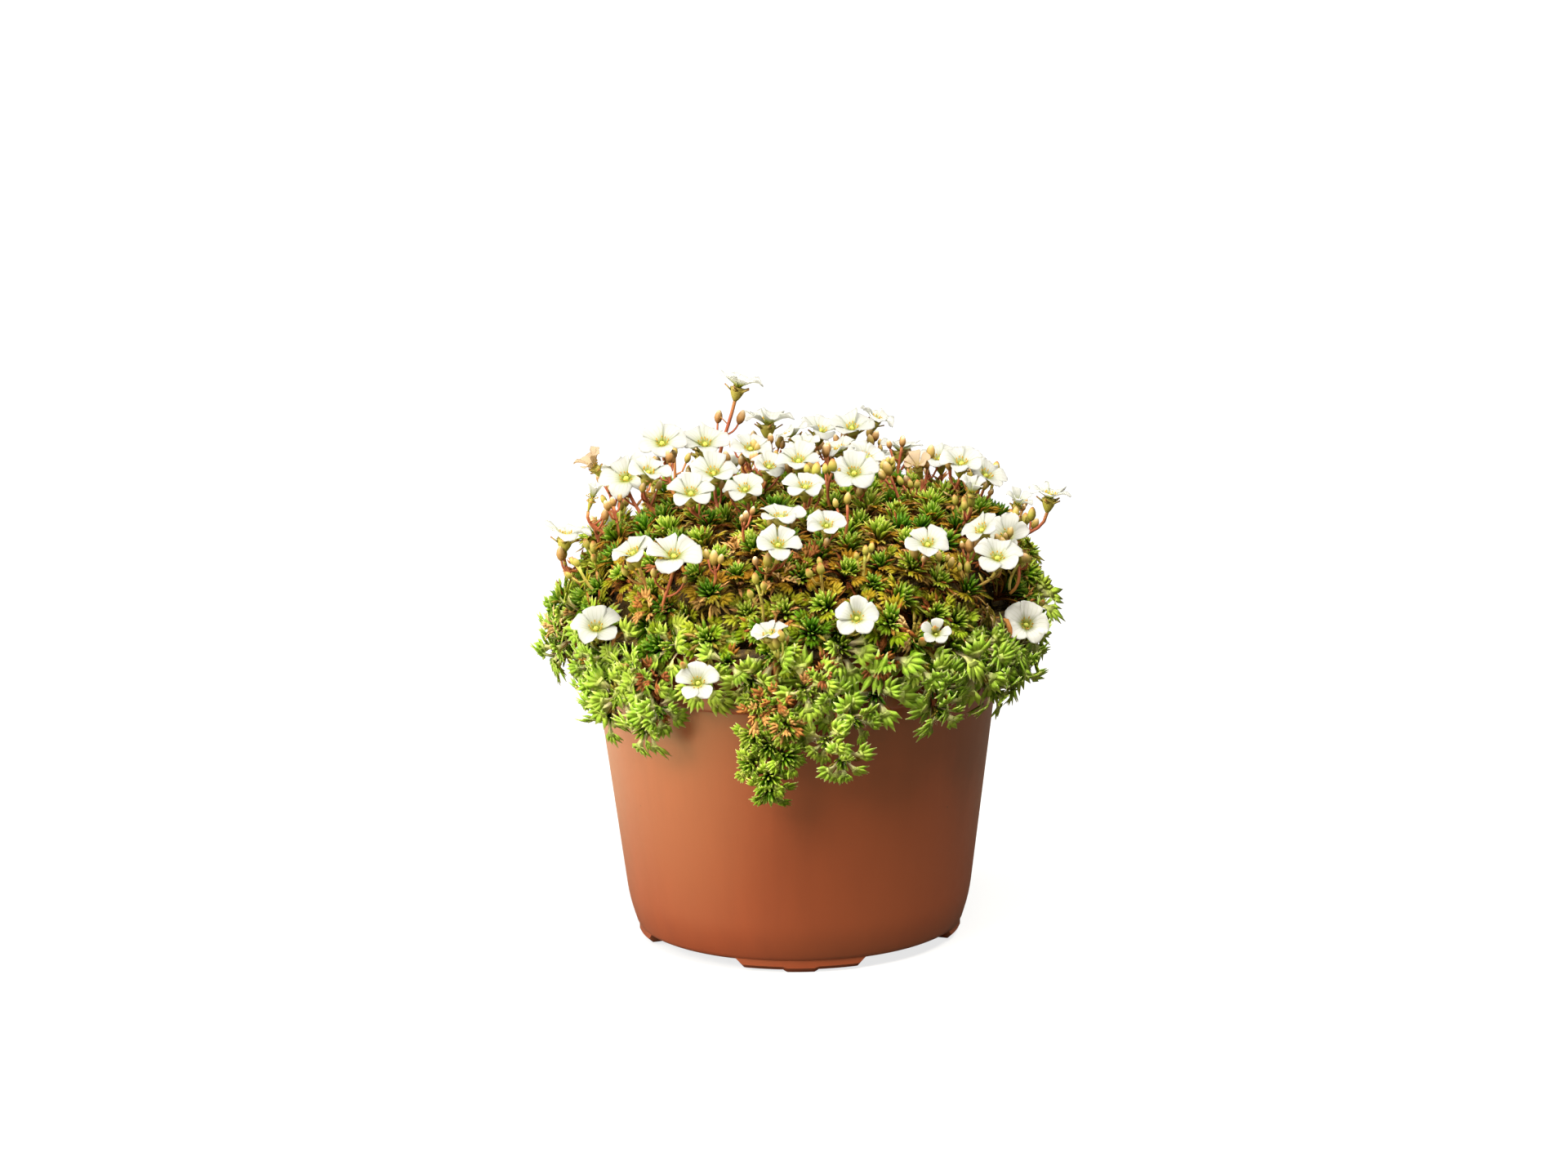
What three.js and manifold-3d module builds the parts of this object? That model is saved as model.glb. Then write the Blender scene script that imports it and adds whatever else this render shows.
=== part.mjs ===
// A mossy saxifrage in a round nursery pot: pot, soil, leafy cushion with its flower stems, and white blooms.
// Millimetres, +Z up, the viewer on the -Y side. The origin is on the table, under the pot's axis.
import * as THREE from "three";
import { mergeVertices } from "three/addons/utils/BufferGeometryUtils.js";
import Module from "manifold-3d";

const wasm = await Module();
wasm.setup();

// Driving dimensions.

const pot = {
  rimRadius: 60, height: 89.5, bandHeight: 16, bandFootRadius: 57.6, wallTopRadius: 54.6, wall: 1.1, sides: 32,
  cornerTopRadius: 46.3, cornerTopZ: 9, cornerMidRadius: 45.3, floorEdgeRadius: 43.2, footHeight: 3,
  floorInside: 42.6, floorThickness: 2.7,
};
const foot = { count: 4, outer: 44.2, inner: 39, halfAngle: 24, slope: 3.5, padHalfAngle: 5, padDrop: 0.7 };
const drain = { count: 5, ring: 27, radius: 4, depth: 12, sides: 6 };
const soil = { topZ: 84.6, gap: 0.45, sides: 28 };

// The leaf rosettes sit on this dome over the rim, and a fringe of them hangs from its edge.
const dome = { radius: 60, baseZ: 92, rise: 30, power: 3 };
const core = {
  radius: 49, rise: 21, sides: 15, neckRadius: 54.5, lipRadius: 61, lipHeight: 2, bottomGap: 0.4,
  rimClearance: 1.2, moundAngles: [15, 35, 60],
};
// The outline of a leaf: [angle as a share of the step to the next leaf, distance and height as shares of the
// reach].
const leafy = {
  rosettes: 46, reach: 11.7, leaves: 5, rootDepth: 0.42, heartLift: 0.46, ridge: [0.48, 0.28], stalkRadius: 1.3,
  outline: [
    [-0.5, 0.5, 0.12], [-0.33, 0.88, 0.26], [-0.16, 0.68, 0.24],
    [0, 1, 0.34], [0.16, 0.68, 0.24], [0.33, 0.88, 0.26],
  ],
};
const fringe = { count: 20, radius: 64.3, lowZ: 83, highZ: 91, reach: 11.8 };
// The rim of a petal: [angle as a share of the step to the next petal, distance and height as shares of the
// widest]. A bloom that isn't open is narrower, by its closed flare, and stands steeper.
const flower = {
  radius: 6.6, petals: 5, thickness: 0.7, floor: 0.3, closedFlare: 0.45, closedRise: 1.25, openRise: 0.4,
  calyxRadius: 2.1, calyxLength: 3.6, gap: 0.35, aboveDome: 8.5,
  rim: [[-0.5, 0.5, 0.3], [-0.34, 0.95, 0.9], [0, 1.02, 1], [0.34, 0.95, 0.9]],
};
// A stem over the longest straight length bends. It is sunk in the leaves by a least volume, and a bloom stands
// a least rise over its root.
const stem = {
  radius: 0.65, sides: 3, longestStraight: 7, leastSunk: 0.6, leastRise: 4.5, lengthWeight: 0.3,
  rosettesTried: 8,
};
const bud = { radius: 1.5, length: 4.2, tipRadius: 0.4 };

// Small tools.

const degrees = Math.PI / 180;
const goldenAngle = Math.PI * (3 - Math.sqrt(5));
const up = new THREE.Vector3(0, 0, 1);

const point = (x, y, z) => new THREE.Vector3(x, y, z);
const polar = (radius, angle, z) => point(radius * Math.cos(angle), radius * Math.sin(angle), z);
const mix = (a, b, t) => a + (b - a) * t;

// A seeded random number from 0 to 1 for each call.
function dice(seed) {
  let state = seed >>> 0;
  return () => {
    state = (Math.imul(state, 1664525) + 1013904223) >>> 0;
    return state / 4294967296;
  };
}

// A closed solid from points and triangles that face out.
function solidFrom(points, triangles) {
  const vertProperties = new Float32Array(points.flatMap((p) => [p.x, p.y, p.z]));
  const triVerts = new Uint32Array(triangles.flat());
  return new wasm.Manifold(new wasm.Mesh({ numProp: 3, vertProperties, triVerts }));
}

// A closed solid from a three.js geometry.
function solidOf(geometry) {
  const bare = geometry.clone();
  bare.deleteAttribute("normal");
  bare.deleteAttribute("uv");
  const merged = mergeVertices(bare, 1e-4);
  const triVerts = new Uint32Array(merged.index.array);
  const vertProperties = merged.attributes.position.array;
  return new wasm.Manifold(new wasm.Mesh({ numProp: 3, vertProperties, triVerts }));
}

// A lathed solid about Z from [radius, height] pairs that run from the axis back to the axis.
function lathe(profile, sides) {
  const outline = profile.map(([r, z]) => new THREE.Vector2(r, z));
  return solidOf(new THREE.LatheGeometry(outline, sides).rotateX(Math.PI / 2));
}

// A solid without the crumbs that a cut leaves loose.
function largestBody(solid) {
  return solid.decompose().reduce((a, b) => (b.volume() > a.volume() ? b : a));
}

function geometryOf(solid) {
  const { vertProperties, triVerts, numVert, numProp } = solid.getMesh();
  const positions = new Float32Array(numVert * 3);
  for (let i = 0; i < numVert; i++) {
    positions.set(vertProperties.subarray(i * numProp, i * numProp + 3), i * 3);
  }
  const geometry = new THREE.BufferGeometry();
  geometry.setAttribute("position", new THREE.BufferAttribute(positions, 3));
  geometry.setIndex(new THREE.BufferAttribute(new Uint32Array(triVerts), 1));
  geometry.computeVertexNormals();
  return geometry;
}

// Two directions across an axis, turned about it by spin.
function across(axis, spin) {
  const helper = Math.abs(axis.z) > 0.95 ? point(0, 1, 0) : up;
  const side = new THREE.Vector3().crossVectors(helper, axis).normalize();
  const other = new THREE.Vector3().crossVectors(axis, side);
  const u = side.clone().multiplyScalar(Math.cos(spin)).addScaledVector(other, Math.sin(spin));
  return [u, new THREE.Vector3().crossVectors(axis, u)];
}

// A tube through stations of {at, radius} with a few sides, closed at both ends. It doesn't twist on its way.
function tube(stations, sides) {
  const points = [];
  const u = across(stations[1].at.clone().sub(stations[0].at).normalize(), 0)[0];
  stations.forEach(({ at, radius }, i) => {
    const before = stations[Math.max(0, i - 1)].at;
    const after = stations[Math.min(stations.length - 1, i + 1)].at;
    const along = after.clone().sub(before).normalize();
    u.addScaledVector(along, -u.dot(along)).normalize();
    const v = new THREE.Vector3().crossVectors(along, u);
    for (let k = 0; k < sides; k++) {
      const a = (2 * Math.PI * k) / sides;
      const [x, y] = [radius * Math.cos(a), radius * Math.sin(a)];
      points.push(at.clone().addScaledVector(u, x).addScaledVector(v, y));
    }
  });
  const triangles = [];
  for (let i = 0; i + 1 < stations.length; i++)
    for (let k = 0; k < sides; k++) {
      const [a, b] = [i * sides + k, i * sides + ((k + 1) % sides)];
      triangles.push([a, b, b + sides], [a, b + sides, a + sides]);
    }
  const last = (stations.length - 1) * sides;
  for (let k = 1; k + 1 < sides; k++) triangles.push([0, k + 1, k], [last, last + k, last + k + 1]);
  return solidFrom(points, triangles);
}

// The pot and its soil.

function potSolid() {
  const { rimRadius, height, wall, footHeight } = pot;
  const bandZ = height - pot.bandHeight;
  const outer = [
    [0, footHeight + 1], [pot.floorEdgeRadius, footHeight], [pot.cornerMidRadius, footHeight + 1.5],
    [pot.cornerTopRadius, pot.cornerTopZ], [pot.wallTopRadius, bandZ],
    [pot.bandFootRadius, bandZ + 0.9], [rimRadius, height - 0.8], [rimRadius - 0.3, height],
  ];
  const inner = [
    [rimRadius - wall, height], [pot.bandFootRadius - wall, bandZ + 2.1],
    [pot.wallTopRadius - wall, bandZ + 1.1], [pot.cornerTopRadius - wall, pot.cornerTopZ + 0.8],
    [pot.floorInside, footHeight + pot.floorThickness], [0, footHeight + pot.floorThickness],
  ];
  let body = lathe([...outer, ...inner], pot.sides);
  for (let i = 0; i < foot.count; i++) {
    body = body.add(footSolid((i * 2 * Math.PI) / foot.count - Math.PI / 2));
  }
  for (let i = 0; i <= drain.count; i++) {
    const { radius, ring, count, sides, depth } = drain;
    const hole = new THREE.CylinderGeometry(radius, radius, depth, sides).rotateX(Math.PI / 2);
    const at = polar(i < count ? ring : 0, (i * 2 * Math.PI) / count, footHeight);
    body = body.subtract(solidOf(hole.translate(at.x, at.y, at.z)));
  }
  return body;
}

// One foot: a curved bar under the floor's edge, with sloping ends and a low pad in its middle.
function footSolid(middle) {
  const { halfAngle, slope, padHalfAngle, padDrop, outer, inner } = foot;
  const half = [
    [halfAngle, pot.footHeight + 0.3], [halfAngle - slope, padDrop],
    [padHalfAngle + 1, padDrop], [padHalfAngle, 0],
  ];
  const stations = [...half.map(([a, z]) => [-a, z]), ...half.map(([a, z]) => [a, z]).reverse()];
  const topZ = pot.footHeight + 0.8;
  const points = stations.flatMap(([degree, z]) => {
    const a = middle + degree * degrees;
    return [polar(inner, a, z), polar(outer, a, z), polar(outer, a, topZ), polar(inner, a, topZ)];
  });
  const triangles = [];
  for (let i = 0; i + 1 < stations.length; i++)
    for (let k = 0; k < 4; k++) {
      const [a, b] = [i * 4 + k, i * 4 + ((k + 1) % 4)];
      triangles.push([a, b + 4, b], [a, a + 4, b + 4]);
    }
  const last = (stations.length - 1) * 4;
  triangles.push([0, 1, 2], [0, 2, 3], [last, last + 2, last + 1], [last, last + 3, last + 2]);
  return solidFrom(points, triangles);
}

function soilSolid() {
  const inside = pot.wall + soil.gap;
  const bandZ = pot.height - pot.bandHeight;
  const floorZ = pot.footHeight + pot.floorThickness + soil.gap;
  return lathe(
    [
      [0, floorZ], [pot.floorInside - 0.6, floorZ], [pot.cornerTopRadius - inside, pot.cornerTopZ + 1.6],
      [pot.wallTopRadius - inside, bandZ + 1.6], [pot.bandFootRadius - inside - 0.3, bandZ + 3.4],
      [rimInside(soil.topZ) - soil.gap, soil.topZ], [0, soil.topZ],
    ],
    soil.sides,
  );
}

// The inner radius of the rim band at a height.
function rimInside(z) {
  const share = (z - (pot.height - pot.bandHeight + 2.1)) / (pot.bandHeight - 2.1);
  return mix(pot.bandFootRadius, pot.rimRadius, share) - pot.wall;
}

// The dome that the leaves grow on.

// The dome's height over its base at a share of its radius.
function domeLift(share) {
  return dome.rise * Math.pow(Math.max(0, 1 - Math.pow(share, dome.power)), 1 / dome.power);
}

// The dome's profile as close points from the pole down to the rim, with the area above each.
const profile = (() => {
  const steps = 200;
  let area = 0;
  const rows = [];
  for (let i = 0; i <= steps; i++) {
    const share = Math.sin((i / steps) * 0.5 * Math.PI);
    const row = { r: dome.radius * share, z: dome.baseZ + domeLift(share) };
    const last = rows[i - 1] ?? row;
    area += (row.r + last.r) * Math.hypot(row.r - last.r, row.z - last.z) * Math.PI;
    rows.push({ ...row, area });
  }
  return rows;
})();
const wholeArea = profile[profile.length - 1].area;

// The point and outward direction on the dome where a share of its area lies above.
function onDome(share, angle) {
  const wanted = share * wholeArea;
  const i = Math.max(1, profile.findIndex((row) => row.area >= wanted));
  const [a, b] = [profile[i - 1], profile[i]];
  const t = (wanted - a.area) / (b.area - a.area);
  const normal = point((a.z - b.z) * Math.cos(angle), (a.z - b.z) * Math.sin(angle), b.r - a.r).normalize();
  return { at: polar(mix(a.r, b.r, t), angle, mix(a.z, b.z, t)), normal };
}

// The core that all shoots grow from: a low mound, with a lip that lies over the pot's rim.
function coreSolid() {
  const bottomZ = soil.topZ + core.bottomGap;
  const lipZ = pot.height + core.rimClearance;
  const neck = [[0, bottomZ], [core.neckRadius, bottomZ], [core.neckRadius, lipZ], [core.lipRadius, lipZ]];
  const lip = [[core.lipRadius, lipZ + core.lipHeight], [core.radius + 2, dome.baseZ + 3]];
  const mound = core.moundAngles.map((angle) => {
    const a = angle * degrees;
    return [core.radius * Math.cos(a), dome.baseZ + core.rise * Math.sin(a)];
  });
  return lathe([...neck, ...lip, ...mound, [0, dome.baseZ + core.rise]], core.sides);
}

// Leaf rosettes.

// A point of a rosette by angle, distance from its axis and height over its centre.
function rosettePlace({ at, axis, spin }) {
  const [u, v] = across(axis, spin);
  return (angle, radius, lift) =>
    at.clone().addScaledVector(u, radius * Math.cos(angle)).addScaledVector(v, radius * Math.sin(angle))
      .addScaledVector(axis, lift);
}

// One rosette: leaves with three lobes round a raised heart, over a cone that ends in a three-sided stalk.
function rosetteSolid(plan) {
  const { at, axis, reach } = plan;
  const { leaves } = leafy;
  const place = rosettePlace(plan);
  const root = plan.root ?? at.clone().lerp(point(0, 0, dome.baseZ), leafy.rootDepth);
  const step = (2 * Math.PI) / leaves;
  const { outline } = leafy;
  const [rootTip, heart, stalk, rim] = [0, 1, 2, 5];
  const points = [root, place(0, 0, leafy.heartLift * reach)];
  for (let k = 0; k < 3; k++) points.push(place((k * 2 * Math.PI) / 3, leafy.stalkRadius, -1));
  for (let i = 0; i < leaves; i++)
    for (const [turn, out, lift] of outline) points.push(place((i + turn) * step, out * reach, lift * reach));
  const ridge = points.length;
  const [ridgeOut, ridgeLift] = leafy.ridge;
  for (let i = 0; i < leaves; i++) points.push(place(i * step, ridgeOut * reach, ridgeLift * reach));
  const count = leaves * outline.length;
  const corner = (k) => stalk + (Math.round(((k - 3) * 3) / count + 3) % 3);
  const triangles = [];
  for (let k = 0; k < count; k++) {
    const leaf = Math.floor(k / outline.length);
    const [here, next] = [rim + k, rim + ((k + 1) % count)];
    triangles.push([ridge + leaf, here, next], [corner(k), next, here]);
    if (corner(k) !== corner(k + 1)) triangles.push([next, corner(k), corner(k + 1)]);
    if (k % outline.length === 0) {
      const nextLeaf = rim + ((k + outline.length) % count);
      triangles.push([here, ridge + leaf, heart], [ridge + leaf, nextLeaf, heart]);
    }
  }
  for (let k = 0; k < 3; k++) triangles.push([rootTip, stalk + ((k + 1) % 3), stalk + k]);
  return solidFrom(points, triangles);
}

const leafRandom = dice(11);

// The rosettes of the dome, evenly spread by a spiral of golden angles.
const domeRosettes = Array.from({ length: leafy.rosettes }, (_, k) => {
  const { at, normal } = onDome((k + 0.5) / leafy.rosettes, k * goldenAngle);
  const axis = normal.clone().addScaledVector(up, 0.35).normalize();
  at.addScaledVector(axis, mix(-1, 1.5, leafRandom()));
  return { at, axis, spin: leafRandom() * 2 * Math.PI, reach: leafy.reach * mix(0.88, 1.08, leafRandom()) };
});

// The rosettes of the fringe, which hang outside the rim in a zigzag on stalks from the core's lip.
const fringeRosettes = Array.from({ length: fringe.count }, (_, k) => {
  const angle = ((k + 0.25 * leafRandom()) * 2 * Math.PI) / fringe.count;
  const z = (k % 2 ? fringe.highZ : fringe.lowZ) + mix(-1.5, 1.5, leafRandom());
  const turn = 0.4 * mix(-1, 1, leafRandom());
  const axis = polar(1, angle + turn, k % 2 ? 0.5 : mix(-0.3, 0.1, leafRandom())).normalize();
  const root = polar(core.lipRadius - 1.4, angle, pot.height + core.rimClearance + 1.2);
  const reach = fringe.reach * mix(0.9, 1.05, leafRandom());
  return { at: polar(fringe.radius, angle, z), axis, spin: leafRandom() * 2 * Math.PI, reach, root };
});

// Shoots that trail down the pot, each with rosettes along it: degrees from the front, and drops.
const trails = [
  { angle: -6, drops: [15, 24, 34], reach: 8.4 },
  { angle: 9.5, drops: [16, 27], reach: 8 },
  { angle: -51, drops: [20], reach: 9.4 },
  { angle: -38, drops: [22], reach: 8.6 },
  { angle: 34, drops: [17], reach: 9.4 },
  { angle: 54, drops: [16], reach: 9.4 },
  { angle: 150, drops: [19], reach: 9 },
  { angle: 222, drops: [21], reach: 9 },
];

function trailSolids({ angle, drops, reach }) {
  const a = (angle - 90) * degrees;
  const onShoot = (drop) => polar(pot.rimRadius + 3.4 - drop * 0.06, a, dome.baseZ - drop);
  const stations = [
    { at: polar(core.lipRadius - 4, a, pot.height + core.rimClearance + 1.3), radius: 1.2 },
    { at: polar(pot.rimRadius + 2.8, a, dome.baseZ + 1), radius: 1.1 },
  ];
  const rosettes = drops.map((drop, i) => {
    stations.push({ at: onShoot(drop), radius: 1 });
    const swing = (i % 2 ? 1 : -1) * 0.45;
    const axis = polar(1, a + swing, -0.25 - 0.35 * (i === drops.length - 1)).normalize();
    const at = onShoot(drop).addScaledVector(axis, 1.6);
    const root = onShoot(drop).addScaledVector(axis, -0.4);
    const size = reach * mix(0.9, 1.05, leafRandom());
    return rosetteSolid({ at, axis, spin: leafRandom() * 2 * Math.PI, reach: size, root });
  });
  return [tube(stations, stem.sides), ...rosettes];
}

// Blooms.

// The line of sight through a pixel of the 1920 by 1439 photograph, from where it was taken.
const sight = {
  from: point(-3.1, -1378.7, 402.2), pitch: 12.54 * degrees, roll: -0.8 * degrees, focal: 6398,
  u: 960, v: 719.5, nearest: 1250, farthest: 1550,
};

function lineThrough(u, v) {
  const [a, b] = [(u - sight.u) / sight.focal, (v - sight.v) / sight.focal];
  const right = a * Math.cos(sight.roll) + b * Math.sin(sight.roll);
  const down = b * Math.cos(sight.roll) - a * Math.sin(sight.roll);
  const [c, s] = [Math.cos(sight.pitch), Math.sin(sight.pitch)];
  return point(right, c - down * s, -s - down * c).normalize();
}

// How far out a point is, as a share of the dome grown by a margin on all sides.
function outness(p, margin) {
  const flat = Math.hypot(p.x, p.y) / (dome.radius + margin);
  const tall = Math.max(0, p.z - dome.baseZ) / (dome.rise + margin);
  return Math.pow(Math.pow(flat, dome.power) + Math.pow(tall, dome.power), 1 / dome.power);
}

// Where the sight line through a pixel meets a plane of given depth, or else first comes within a stem's height
// of the dome, or else passes nearest to it.
function seenAt({ u, v, over = flower.aboveDome, depth }) {
  const line = lineThrough(u, v);
  const along = (t) => sight.from.clone().addScaledVector(line, t);
  if (depth !== undefined) return along((depth - sight.from.y) / line.y);
  let nearest = null;
  for (let t = sight.nearest; t < sight.farthest; t += 0.25) {
    const p = along(t);
    const out = outness(p, over);
    if (out <= 1) return p;
    if (!nearest || out < nearest.out) nearest = { p, out };
  }
  return nearest.p;
}

// Each bloom seen in the photograph: its throat's pixel, how far its face leans to the right and to the front
// for one unit up, its width in millimetres where it isn't the usual one, and how open it is. Blooms on the
// skyline have a depth.
const seenBlooms = [
  { u: 904, v: 474, depth: 18, right: 0.25, front: -0.1 },
  { u: 940, v: 520, depth: 30, right: 0.05, front: -0.1, width: 14.6 },
  { u: 811, v: 545, depth: 4, right: -0.05, front: 0.8 },
  { u: 863, v: 547, depth: 8, right: 0.1, front: 0.4, width: 14 },
  { u: 919, v: 552, depth: 6, right: 0.1, front: 0.5, width: 12 },
  { u: 767, v: 588, over: 9, right: -0.1, front: 0.9, width: 14.4 },
  { u: 793, v: 581, depth: -6, right: 0.3, front: 0.4, width: 12 },
  { u: 728, v: 572, depth: -2, right: -0.6, front: 0.3, width: 10, open: 0.6 },
  { u: 874, v: 583, over: 9, right: -0.05, front: 0.45, width: 13.8 },
  { u: 846, v: 607, over: 9, right: 0.05, front: 0.6, width: 13.8 },
  { u: 971, v: 534, depth: 22, right: -0.5, front: -0.15, width: 11 },
  { u: 1004, v: 530, depth: 34, right: 0.2, front: 0.2, width: 12 },
  { u: 984, v: 549, depth: 6, right: 0, front: 0.4, width: 9.5, open: 0.8 },
  { u: 978, v: 567, depth: -12, right: -0.1, front: 0.5, width: 12 },
  { u: 941, v: 574, depth: -8, right: 0.2, front: 0.4, width: 10.5 },
  { u: 913, v: 602, over: 7, right: -0.2, front: 0.6, width: 11.5 },
  { u: 1043, v: 527, depth: 26, right: 0, front: 0.35, width: 12.5 },
  { u: 1071, v: 515, depth: 40, right: 0.4, front: 0, width: 11 },
  { u: 1030, v: 553, depth: 14, right: -0.3, front: 0.1, width: 10.5 },
  { u: 1059, v: 563, depth: 8, right: 0.4, front: 0.4, width: 11.5 },
  { u: 1046, v: 582, over: 9, right: -0.05, front: 0.6, width: 13.6 },
  { u: 986, v: 599, over: 8, right: 0.05, front: 0.35, width: 12 },
  { u: 957, v: 637, over: 7.5, right: 0, front: 0.25, width: 12.4 },
  { u: 1012, v: 646, over: 7, right: 0.05, front: 0.6, width: 10.5 },
  { u: 953, v: 670, over: 7, right: 0, front: 0.6, width: 12.6 },
  { u: 1136, v: 669, over: 7.5, right: 0, front: 0.65, width: 12 },
  { u: 1124, v: 572, depth: 0, right: -0.3, front: 0.4, width: 9, open: 0.7 },
  { u: 1151, v: 565, depth: 14, right: -0.1, front: 0.3, width: 11.5 },
  { u: 1177, v: 570, depth: -4, right: 0.1, front: 0.4, width: 12.4 },
  { u: 1206, v: 585, depth: 4, right: 0.5, front: 0.35, width: 12.6 },
  { u: 1190, v: 604, depth: -22, right: 0.05, front: 0.15, width: 9.5, open: 0.55 },
  { u: 1234, v: 659, over: 7, right: -0.55, front: 1, width: 13 },
  { u: 1221, v: 686, over: 11, right: 0.1, front: 0.6, width: 13.4 },
  { u: 1203, v: 651, over: 8, right: -0.5, front: 0.5, width: 11 },
  { u: 1246, v: 618, depth: -4, right: 0.3, front: 0.3, width: 9, open: 0.7 },
  { u: 1285, v: 610, depth: -26, right: 0.15, front: 0, width: 12.2 },
  { u: 692, v: 659, depth: -8, right: 0.1, front: -0.05, width: 14 },
  { u: 725, v: 610, depth: -16, right: 0.3, front: 0.1, width: 8, open: 0.2 },
  { u: 776, v: 680, over: 7, right: -0.35, front: 0.35, width: 12.2 },
  { u: 825, v: 684, over: 8, right: 0.1, front: 0.5, width: 14.6 },
  { u: 730, v: 772, over: 6.5, right: -0.05, front: 0.7, width: 13.8 },
  { u: 855, v: 838, over: 10, right: -0.1, front: 1.2, width: 11.6 },
  { u: 943, v: 780, over: 6, right: -0.25, front: 0.15, width: 10 },
  { u: 1049, v: 759, over: 6, right: 0, front: 1.1, width: 11.8 },
  { u: 1146, v: 778, over: 6, right: 0.05, front: 1.2, width: 9.6, open: 0.75 },
  { u: 1256, v: 767, over: 5, right: 0.35, front: 1.3, width: 13 },
];

// Blooms on the far side, which the photograph doesn't show: degrees round from the front, and the share of the
// dome's area above.
const farBlooms = [
  { angle: 118, share: 0.5 },
  { angle: 137, share: 0.3 },
  { angle: 158, share: 0.55 },
  { angle: 176, share: 0.36 },
  { angle: 196, share: 0.6 },
  { angle: 214, share: 0.34 },
  { angle: 236, share: 0.5 },
  { angle: 186, share: 0.82 },
  { angle: 140, share: 0.78 },
  { angle: 228, share: 0.8 },
];

function bloomPlans() {
  const seen = seenBlooms.map((bloom) => {
    const axis = point(bloom.right, -bloom.front, 1).normalize();
    const radius = bloom.width ? bloom.width / 2 : flower.radius;
    return { at: seenAt(bloom), axis, radius, open: bloom.open ?? 1 };
  });
  const far = farBlooms.map(({ angle, share }, i) => {
    const { at, normal } = onDome(share, (angle - 90) * degrees);
    const lift = flower.aboveDome + (i % 2 ? 0 : 1.5);
    const axis = normal.clone().addScaledVector(up, 0.9).normalize();
    return { at: at.addScaledVector(normal, lift), axis, radius: mix(5.8, 6.9, (i % 4) / 3), open: 1 };
  });
  return [...seen, ...far].map((plan, i) => {
    const name = "bloom_" + String(i + 1).padStart(2, "0");
    return { ...plan, spin: i * goldenAngle, name };
  });
}

// The five petals of one bloom as a shallow bowl with a notch between petals; grow pads it on all sides.
function petalSolid({ at, axis, radius, open, spin }, grow = 0) {
  const { petals, rim, floor, thickness } = flower;
  const [u, v] = across(axis, spin);
  const flare = mix(flower.closedFlare, 1, open);
  const rise = mix(flower.closedRise, flower.openRise, open);
  const place = (angle, share, lift) => {
    const out = share * radius * flare + grow;
    const [x, y] = [out * Math.cos(angle), out * Math.sin(angle)];
    return at.clone().addScaledVector(u, x).addScaledVector(v, y).addScaledVector(axis, lift);
  };
  const step = (2 * Math.PI) / petals;
  const count = rim.length * petals;
  const points = [place(0, 0, floor + grow), place(0, 0, floor - thickness - grow)];
  for (let i = 0; i < petals; i++)
    for (const [turn, share, lift] of rim) {
      const angle = (i + turn) * step;
      const height = lift * rise * radius + 0.2;
      points.push(place(angle, share, height + grow), place(angle, share, height - thickness - grow));
    }
  const triangles = [];
  for (let k = 0; k < count; k++) {
    const [top, low] = [2 + 2 * k, 3 + 2 * k];
    const [nextTop, nextLow] = [2 + 2 * ((k + 1) % count), 3 + 2 * ((k + 1) % count)];
    triangles.push([0, top, nextTop], [1, nextLow, low], [top, low, nextLow], [top, nextLow, nextTop]);
  }
  return solidFrom(points, triangles);
}

// A bloom grown by a margin, with the room that its calyx and the top of its stem need.
function roomOf(plan) {
  const below = (distance) => plan.at.clone().addScaledVector(plan.axis, -distance);
  const stub = [[8, 0.9], [4, 1], [0.5, 2.2]].map(([distance, radius]) => ({ at: below(distance), radius }));
  return petalSolid(plan, flower.gap).add(tube(stub, 4));
}

// Blooms that would cross are moved apart along the line of sight, the nearer one towards the viewer.
function spreadBlooms(plans) {
  const rooms = plans.map(roomOf);
  const [mostRounds, shift] = [40, 0.7];
  for (let round = 0; round < mostRounds; round++) {
    let crossings = 0;
    for (let i = 0; i < plans.length; i++)
      for (let j = i + 1; j < plans.length; j++) {
        const reach = plans[i].radius + plans[j].radius + 8;
        if (plans[i].at.distanceTo(plans[j].at) > reach) continue;
        if (rooms[i].intersect(rooms[j]).volume() < 1e-4) continue;
        crossings++;
        const [near, far] = plans[i].at.y < plans[j].at.y ? [i, j] : [j, i];
        for (const [k, way] of [[near, -shift], [far, shift]]) {
          const line = plans[k].at.clone().sub(sight.from).normalize();
          plans[k].at.addScaledVector(line, way);
          rooms[k] = roomOf(plans[k]);
        }
      }
    if (!crossings) break;
  }
  return plans;
}

// Flower stems and buds.

const plans = spreadBlooms(bloomPlans());
const petals = plans.map((plan) => petalSolid(plan));
const clearances = plans.map((plan) => petalSolid(plan, flower.gap));

// The points inside a rosette that a stem can rise from, each under the middle of a facet of its heart.
function stemRoots(rosette) {
  const place = rosettePlace(rosette);
  const count = 2 * leafy.leaves;
  return Array.from({ length: count }, (_, k) =>
    place(((k + 0.5) * 2 * Math.PI) / count, 0.25 * rosette.reach, 0.28 * rosette.reach - 1.6));
}

// The line of a stem from a root in a rosette to a point that it meets in a given direction, as a cubic curve.
function stemCurve(root, rosette, end, axis) {
  const pull = 0.4 * end.distanceTo(root);
  const after = root.clone().addScaledVector(rosette.axis, pull);
  const before = end.clone().addScaledVector(axis, -pull);
  return new THREE.CubicBezierCurve3(root, after, before, end);
}

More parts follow.
